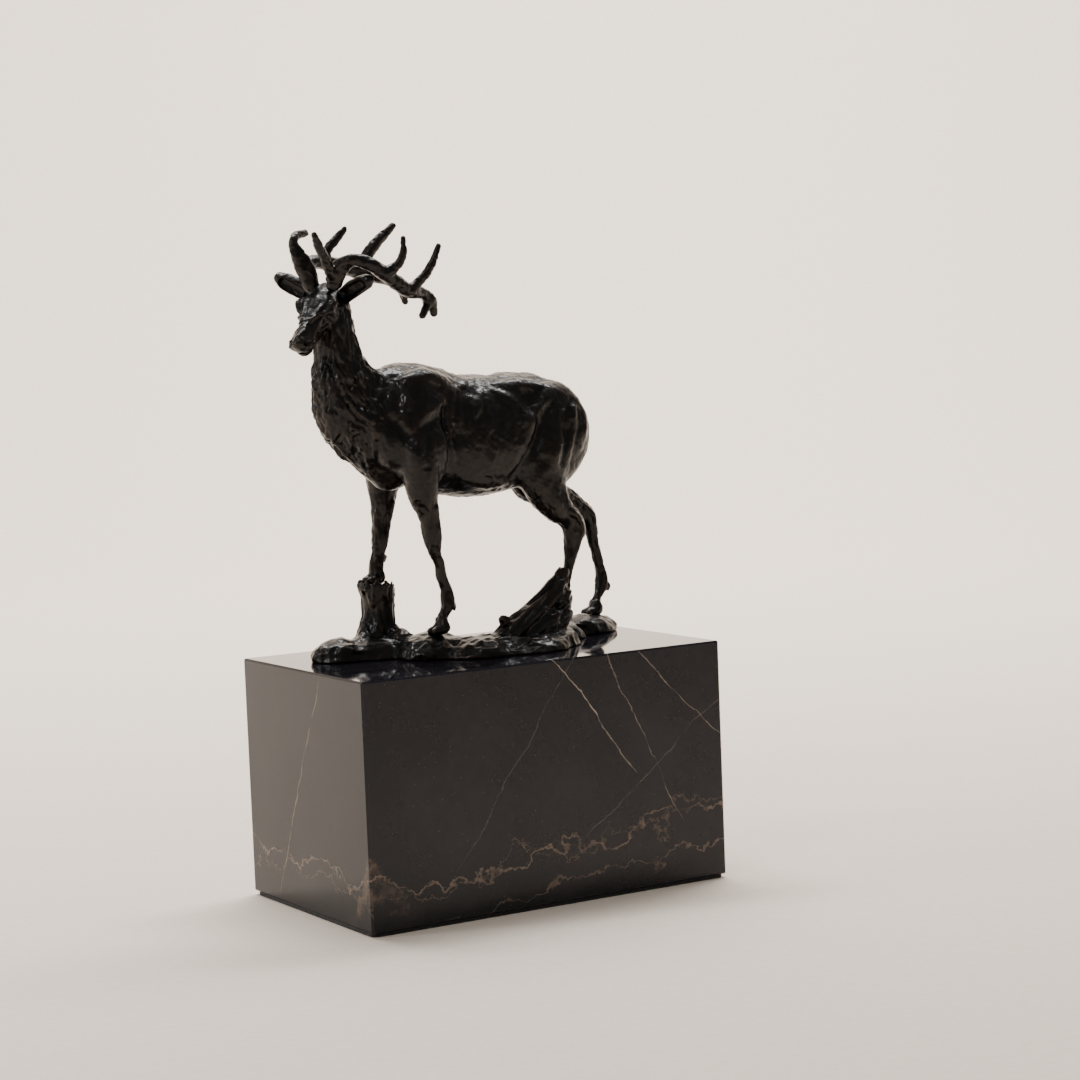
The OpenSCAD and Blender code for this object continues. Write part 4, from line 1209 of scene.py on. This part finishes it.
@dataclass
class Groundwork:
    """The rocky ground, the broken stump and the fallen log."""

    grid: tuple[Row, Row] = ((-76, -42, -3), (84, 46, 36))
    stump_grid: tuple[Row, Row] = ((-66, -8, -3), (-14, 42, 36))
    log_grid: tuple[Row, Row] = ((-12, -32, -3), (48, 2, 36))
    foot: float = 1.0               # the stump and log are cut off this high, in the ground
    bark: float = 0.7               # how far past their modelled surface they still reach
    # x, y, half length, half width and height of each rock
    rocks: Rows = ((-60, 14, 10, 11, 9.5), (-44, 13, 17, 14, 8.5), (-26, -5, 15, 14, 9.5),
                   (-8, -16, 18, 14, 7.5), (12, -19, 18, 14, 6.5), (28, -11, 12, 13, 8),
                   (44, 4, 10, 8, 6), (60, 14, 14, 9.5, 7.5), (68, 18, 10, 8, 6),
                   (-35, 26, 12, 12, 6), (-18, 8, 16, 12, 6), (8, -4, 20, 12, 5.5))
    stump: Rows = ((-40, 17, 2, 9.5), (-39.5, 17, 8.5, 8), (-39, 17, 13, 7), (-38.5, 17, 18, 6.4),
                   (-38.5, 17, 24, 6.6), (-39, 17, 29, 7.2))
    roots: tuple[Rows, ...] = (((-41, 17, 10, 4.6), (-48, 13, 6, 3.6), (-54, 10, 3, 2.2)),
                               ((-39, 15, 11, 4.6), (-33, 8, 7, 3.6), (-29, 3, 4, 2.6)),
                               ((-40, 19, 11, 4.6), (-36, 27, 6, 3.6), (-33, 32, 2, 2.2)))
    log_rows: tuple[Rows, ...] = (
        ((-3, -17, 4, 3.0), (7, -16, 9.5, 4.4), (16, -15, 13.5, 4.8), (24, -14, 19, 4.3),
         (30, -13.5, 25, 3.4), (34, -13, 30, 2.3)),
        ((13, -16, 6, 4.6), (24, -15, 10, 5.4), (31, -13.5, 13, 4.8), (33.5, -13, 21, 3.2)),
        ((8, -17, 10, 2.4), (3.5, -18, 12, 2.0), (1, -18.5, 13.5, 1.6)))

    def rock_marks(self, points: np.ndarray) -> np.ndarray:
        """Gives the lumps and tool strokes of the rocky ground."""
        lump = 1.3 * ridged(points / [11, 9, 12], 31) - 0.5
        stroke = 0.5 * ridged(points / [5, 3, 3], 32)
        fine = 0.16 * value_noise(points / 1.6, 33)
        return (lump + stroke) * np.clip((points[:, 2] + 0.5) / 3, 0, 1) + fine

    def bark_marks(self, points: np.ndarray) -> np.ndarray:
        """Gives the long furrows of the stump's bark, which run up and down."""
        furrow = 1.0 * ridged(points / [3.0, 3.0, 14], 34) - 0.4
        return furrow + 0.3 * ridged(points / [1.3, 1.3, 5], 35) + 0.12 * value_noise(points / 1.0, 36)

    def grain_marks(self, points: np.ndarray) -> np.ndarray:
        """Gives the splits of the log's wood, which run along it."""
        along = points @ np.array([0.8, 0.0, 0.6])
        over = points @ np.array([-0.6, 0.0, 0.8])
        turned = np.stack([along / 16, over / 2.6, points[:, 1] / 2.6], 1)
        fine = np.stack([along / 6, over / 1.1, points[:, 1] / 1.1], 1)
        return 1.1 * ridged(turned, 37) - 0.4 + 0.3 * ridged(fine, 38)

    def build(self, step: float, finish: Material) -> None:
        """Models the ground, stump and log, and cuts them apart."""
        clay = Clay(*self.grid, step)
        for x, y, long, wide, high in self.rocks:
            clay.egg((x, y, 0), (long, wide, high), 3.0)
        clay.roughen(self.rock_marks, 2.5)
        stump = Clay(*self.stump_grid, step)
        stump.chain(self.stump, 1.0)
        for root in self.roots:
            stump.chain(root, 2.0)
        x, y, z = stump.axes(tuple(slice(0, n) for n in stump.distance.shape))
        rim = 29.5 + 1.3 * np.sin(x * 0.9 + 1) * np.cos(y * 1.1) - 0.25 * (x + 38) * 0.5
        stump.distance = np.maximum(stump.distance, (z - rim) * 0.8).astype(np.float32)
        stump.egg((-38, 17, 30), (3.6, 3.6, 2.4), 1.0, carve=True)
        stump.roughen(self.bark_marks, 2.5)
        trunk = Clay(*self.log_grid, step)
        for rows in self.log_rows:
            trunk.chain(rows, 1.4)
        trunk.roughen(self.grain_marks, 2.5)
        for part in (stump, trunk):
            offset = np.rint((part.low - clay.low) / step).astype(int)
            window = tuple(slice(o, o + n) for o, n in zip(offset, part.distance.shape))
            clay.press(window, part.distance, 1.6)
        clay.trim_below(0.02)
        skin = clay.skin()
        for name, part, low, high in (("stump", stump, (-99, -99), (-16, 99)),
                                      ("log", trunk, (-10, -99), (99, 0))):
            place = skin.points
            outside = ((place[:, :2] < low) | (place[:, :2] > high)).any(1)
            gap = np.maximum(part.sample(place) - self.bark, self.foot - place[:, 2] + 40 * outside)
            piece, skin = skin.split(gap)
            piece.piece(f"{name}_casting", finish, [name])
        skin.piece("ground_casting", finish, ["ground"])


# ---------------------------------------------------------------- plinth and studio


@dataclass
class Plinth:
    """The marble block, its felt and the fixings inside it."""

    def dress(self) -> None:
        """Gives the CAD model's own nodes their finishes."""
        finishes = {"marble_block": MARBLE.make()}
        steel, turned = ZINC.make(), TURNED_BRONZE.make()
        for end in ("front", "rear"):
            for part in ("stud", "washer", "nut"):
                finishes[f"{part}_{end}"] = steel
            finishes[f"insert_{end}"] = turned
        for name, finish in finishes.items():
            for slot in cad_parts[name].material_slots:
                slot.material = finish
            log.info("%s: %s", name, finish.name)

    def lay_felt(self, finish: Material) -> None:
        """Makes the felt's backing, a thin slab with rounded corners."""
        low, high = (Vector(corner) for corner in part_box("felt_pad"))
        work = bmesh.new()
        bmesh.ops.create_grid(work, x_segments=84, y_segments=52, size=0.5)
        corner, size = 3.0 * MM, high - low
        for vertex in work.verts:
            place = Vector((vertex.co.x * size.x, vertex.co.y * size.y, 0))
            reach = Vector((max(abs(place.x) - size.x / 2 + corner, 0),
                            max(abs(place.y) - size.y / 2 + corner, 0)))
            if reach.x > 0 and reach.y > 0:
                inward = max(reach.length - corner, 0) / max(reach.length, 1e-9)
                place.x -= math.copysign(reach.x * inward, place.x)
                place.y -= math.copysign(reach.y * inward, place.y)
            vertex.co = place
        bottom = [face for face in work.faces]
        top = bmesh.ops.extrude_face_region(work, geom=bottom)["geom"]
        for vertex in (item for item in top if isinstance(item, bmesh.types.BMVert)):
            vertex.co.z += size.z
        bmesh.ops.recalc_face_normals(work, faces=work.faces)
        mesh = bpy.data.meshes.new("felt_sheet")
        for vertex in work.verts:
            vertex.co += Vector(((low.x + high.x) / 2, (low.y + high.y) / 2, low.z))
        work.to_mesh(mesh)
        work.free()
        hand_in("felt_sheet", mesh, finish, ["felt_pad"])


@dataclass
class FeltFibres:
    """Loose wool fibres that stand out of the felt's cut edge, scattered by geometry nodes."""

    seed: int = 7
    density: float = 2.4e6          # fibres on a square metre of the edge
    length: float = 0.7 * MM
    thick: float = 0.05 * MM

    def nodes(self) -> Tree:
        """Makes the tree that scatters thin cones over a strip of faces."""
        tree = bpy.data.node_groups.new("felt_fibres", "GeometryNodeTree")
        interface = tree.interface
        interface.new_socket("Strip", in_out="INPUT", socket_type="NodeSocketGeometry")
        for name, kind in (("Density", "Float"), ("Length", "Float"), ("Thickness", "Float"),
                           ("Seed", "Int"), ("Material", "Material")):
            interface.new_socket(name, in_out="INPUT", socket_type=f"NodeSocket{kind}")
        interface.new_socket("Fibres", in_out="OUTPUT", socket_type="NodeSocketGeometry")
        given = tree.nodes.new("NodeGroupInput").outputs
        spread = add_node(tree, "GeometryNodeDistributePointsOnFaces", {},
                          {"Mesh": given["Strip"], "Density": given["Density"], "Seed": given["Seed"]})
        cone = add_node(tree, "GeometryNodeMeshCone", {"Vertices": 3, "Radius Top": 0.0},
                        {"Radius Bottom": given["Thickness"], "Depth": given["Length"]})
        fibres = add_node(tree, "GeometryNodeInstanceOnPoints", {}, {
            "Points": spread.outputs["Points"], "Instance": cone.outputs["Mesh"],
            "Rotation": spread.outputs["Rotation"]})
        lean = add_node(tree, "FunctionNodeRandomValue", {
            "data_type": "FLOAT_VECTOR", 0: (-0.7, -0.7, 0.0), 1: (0.7, 0.7, 3.0)}, {"Seed": given["Seed"]})
        leaning = add_node(tree, "GeometryNodeRotateInstances", {},
                           {"Instances": fibres.outputs[0], "Rotation": lean.outputs[0]})
        real = add_node(tree, "GeometryNodeRealizeInstances", {}, {0: leaning.outputs[0]})
        dressed = add_node(tree, "GeometryNodeSetMaterial", {},
                           {"Geometry": real.outputs[0], "Material": given["Material"]})
        add_node(tree, "NodeGroupOutput", {}, {0: dressed.outputs[0]})
        return tree

    def build(self, finish: Material) -> None:
        """Scatters the fibres over a thin strip round the felt."""
        low, high = (Vector(corner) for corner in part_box("felt_pad"))
        tall = high.z - low.z
        loop = [(high.x, low.y + 3 * MM), (high.x, high.y - 3 * MM), (high.x - 3 * MM, high.y),
                (low.x + 3 * MM, high.y), (low.x, high.y - 3 * MM), (low.x, low.y + 3 * MM),
                (low.x + 3 * MM, low.y), (high.x - 3 * MM, low.y)]
        points = [(x, y, low.z + tall * share) for share in (0.35, 0.75) for x, y in loop]
        faces = [(i, (i + 1) % 8, (i + 1) % 8 + 8, i + 8) for i in range(8)]
        strip = bpy.data.meshes.new("felt_strip")
        strip.from_pydata(points, [], faces)
        root = bpy.data.objects.new("felt_strip", strip)
        bpy.context.collection.objects.link(root)
        modifier = root.modifiers.new("fibres", "NODES")
        modifier.node_group = self.nodes()
        values = {"Density": self.density, "Length": self.length, "Thickness": self.thick,
                  "Seed": self.seed, "Material": finish}
        for socket in modifier.node_group.interface.items_tree:
            if socket.name in values:
                modifier[socket.identifier] = values[socket.name]
        shape = root.evaluated_get(bpy.context.evaluated_depsgraph_get())
        mesh = bpy.data.meshes.new_from_object(shape)
        bpy.data.objects.remove(root)
        hand_in("felt_fibres", mesh, finish, ["felt_pad"])


@dataclass
class Studio:
    """A pale floor, soft lights and the camera."""

    camera_place: Row = (-0.5482, -0.9516, 0.2356)
    azimuth: float = -31.33
    elevation: float = 4.73
    roll: float = -2.28
    lens: float = 88.34

    def set_camera(self) -> None:
        """Stands the camera in front of the stag's left shoulder."""
        azimuth, elevation = math.radians(self.azimuth), math.radians(self.elevation)
        back = Vector((math.sin(azimuth) * math.cos(elevation), -math.cos(azimuth) * math.cos(elevation),
                       math.sin(elevation)))
        right = (-back).cross(Vector((0, 0, 1))).normalized()
        up = back.cross(right)
        turn = Matrix.Rotation(math.radians(self.roll), 3, back)
        right, up = turn @ right, turn @ up
        camera = bpy.data.objects.new("camera", bpy.data.cameras.new("camera"))
        camera.data.lens = self.lens
        camera.data.sensor_width = 36
        camera.data.clip_start = 0.01
        turned = Matrix((right, up, back)).transposed().to_4x4()
        camera.matrix_world = Matrix.Translation(self.camera_place) @ turned
        bpy.context.collection.objects.link(camera)
        bpy.context.scene.camera = camera

    def add_light(self, name: str, place: Row, size: Row, watts: float, aim: Row = (0, 0, 0.17)) -> None:
        """Adds a soft panel light.

        Args:
            name: Its name.
            place: Where it stands, in metres.
            size: Width and height of the panel.
            watts: Its power.
            aim: The point that it faces.
        """
        data = bpy.data.lights.new(name, "AREA")
        data.shape = "RECTANGLE"
        data.size, data.size_y = size
        data.energy = watts
        light = bpy.data.objects.new(name, data)
        light.location = place
        light.rotation_euler = (Vector(place) - Vector(aim)).to_track_quat("Z", "Y").to_euler()
        bpy.context.collection.objects.link(light)

    def lay_sweep(self) -> None:
        """Lays the pale floor, which curves up into a backdrop behind the object."""
        azimuth = math.radians(self.azimuth)
        behind = Vector((-math.sin(azimuth), math.cos(azimuth), 0))
        aside = Vector((behind.y, -behind.x, 0))
        bend, start = 1.2, 1.4
        profile = [(-3.0, 0.0), (start, 0.0)]
        for step in range(1, 25):
            turn = math.pi / 2 * step / 24
            profile.append((start + bend * math.sin(turn), bend - bend * math.cos(turn)))
        profile.append((start + bend, 4.0))
        points = [behind * away + aside * wide + Vector((0, 0, high))
                  for away, high in profile for wide in (-5, 5)]
        faces = [(2 * i + 1, 2 * i, 2 * i + 2, 2 * i + 3) for i in range(len(profile) - 1)]
        mesh = bpy.data.meshes.new("floor")
        mesh.from_pydata(points, [], faces)
        mesh.polygons.foreach_set("use_smooth", [True] * len(faces))
        mesh.materials.append(PlainFinish("pale_paper", "#f3e4d3", "#f7eadb", 4.0, 0.0, 0.0, 0.9).make())
        floor = bpy.data.objects.new("floor", mesh)
        bpy.context.collection.objects.link(floor)

    def build(self) -> None:
        """Sets up the floor, the surroundings and the lights."""
        self.lay_sweep()
        world = bpy.data.worlds.new("studio")
        world.use_nodes = True
        background = world.node_tree.nodes["Background"]
        background.inputs["Color"].default_value = linear("#f4efe9")
        background.inputs["Strength"].default_value = 0.24
        bpy.context.scene.world = world
        self.add_light("backdrop", (0.5, 0.7, 2.2), (2.4, 0.8), 140.0, (1.0, 1.9, 0.4))
        self.add_light("key", (-0.9, -0.5, 0.9), (0.22, 0.22), 2.4)
        self.add_light("side", (-1.2, 0.35, 0.5), (0.16, 0.8), 4.0)
        self.add_light("top", (0.1, 0.0, 1.3), (0.6, 0.6), 1.6)


def main() -> None:
    """Builds the whole object in order."""
    logging.basicConfig(level=logging.INFO, format="%(name)s %(message)s")
    studio = Studio()
    studio.set_camera()
    bronze = BRONZE.make()
    body, head = Body(), Head()
    body.build(0.5, bronze, head.seam)
    head.build(body, 0.35, bronze)
    Groundwork().build(0.5, bronze)
    plinth = Plinth()
    plinth.dress()
    felt = FELT.make()
    plinth.lay_felt(felt)
    FeltFibres().build(felt)
    studio.build()
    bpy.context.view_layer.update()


if __name__ == "__main__":
    main()
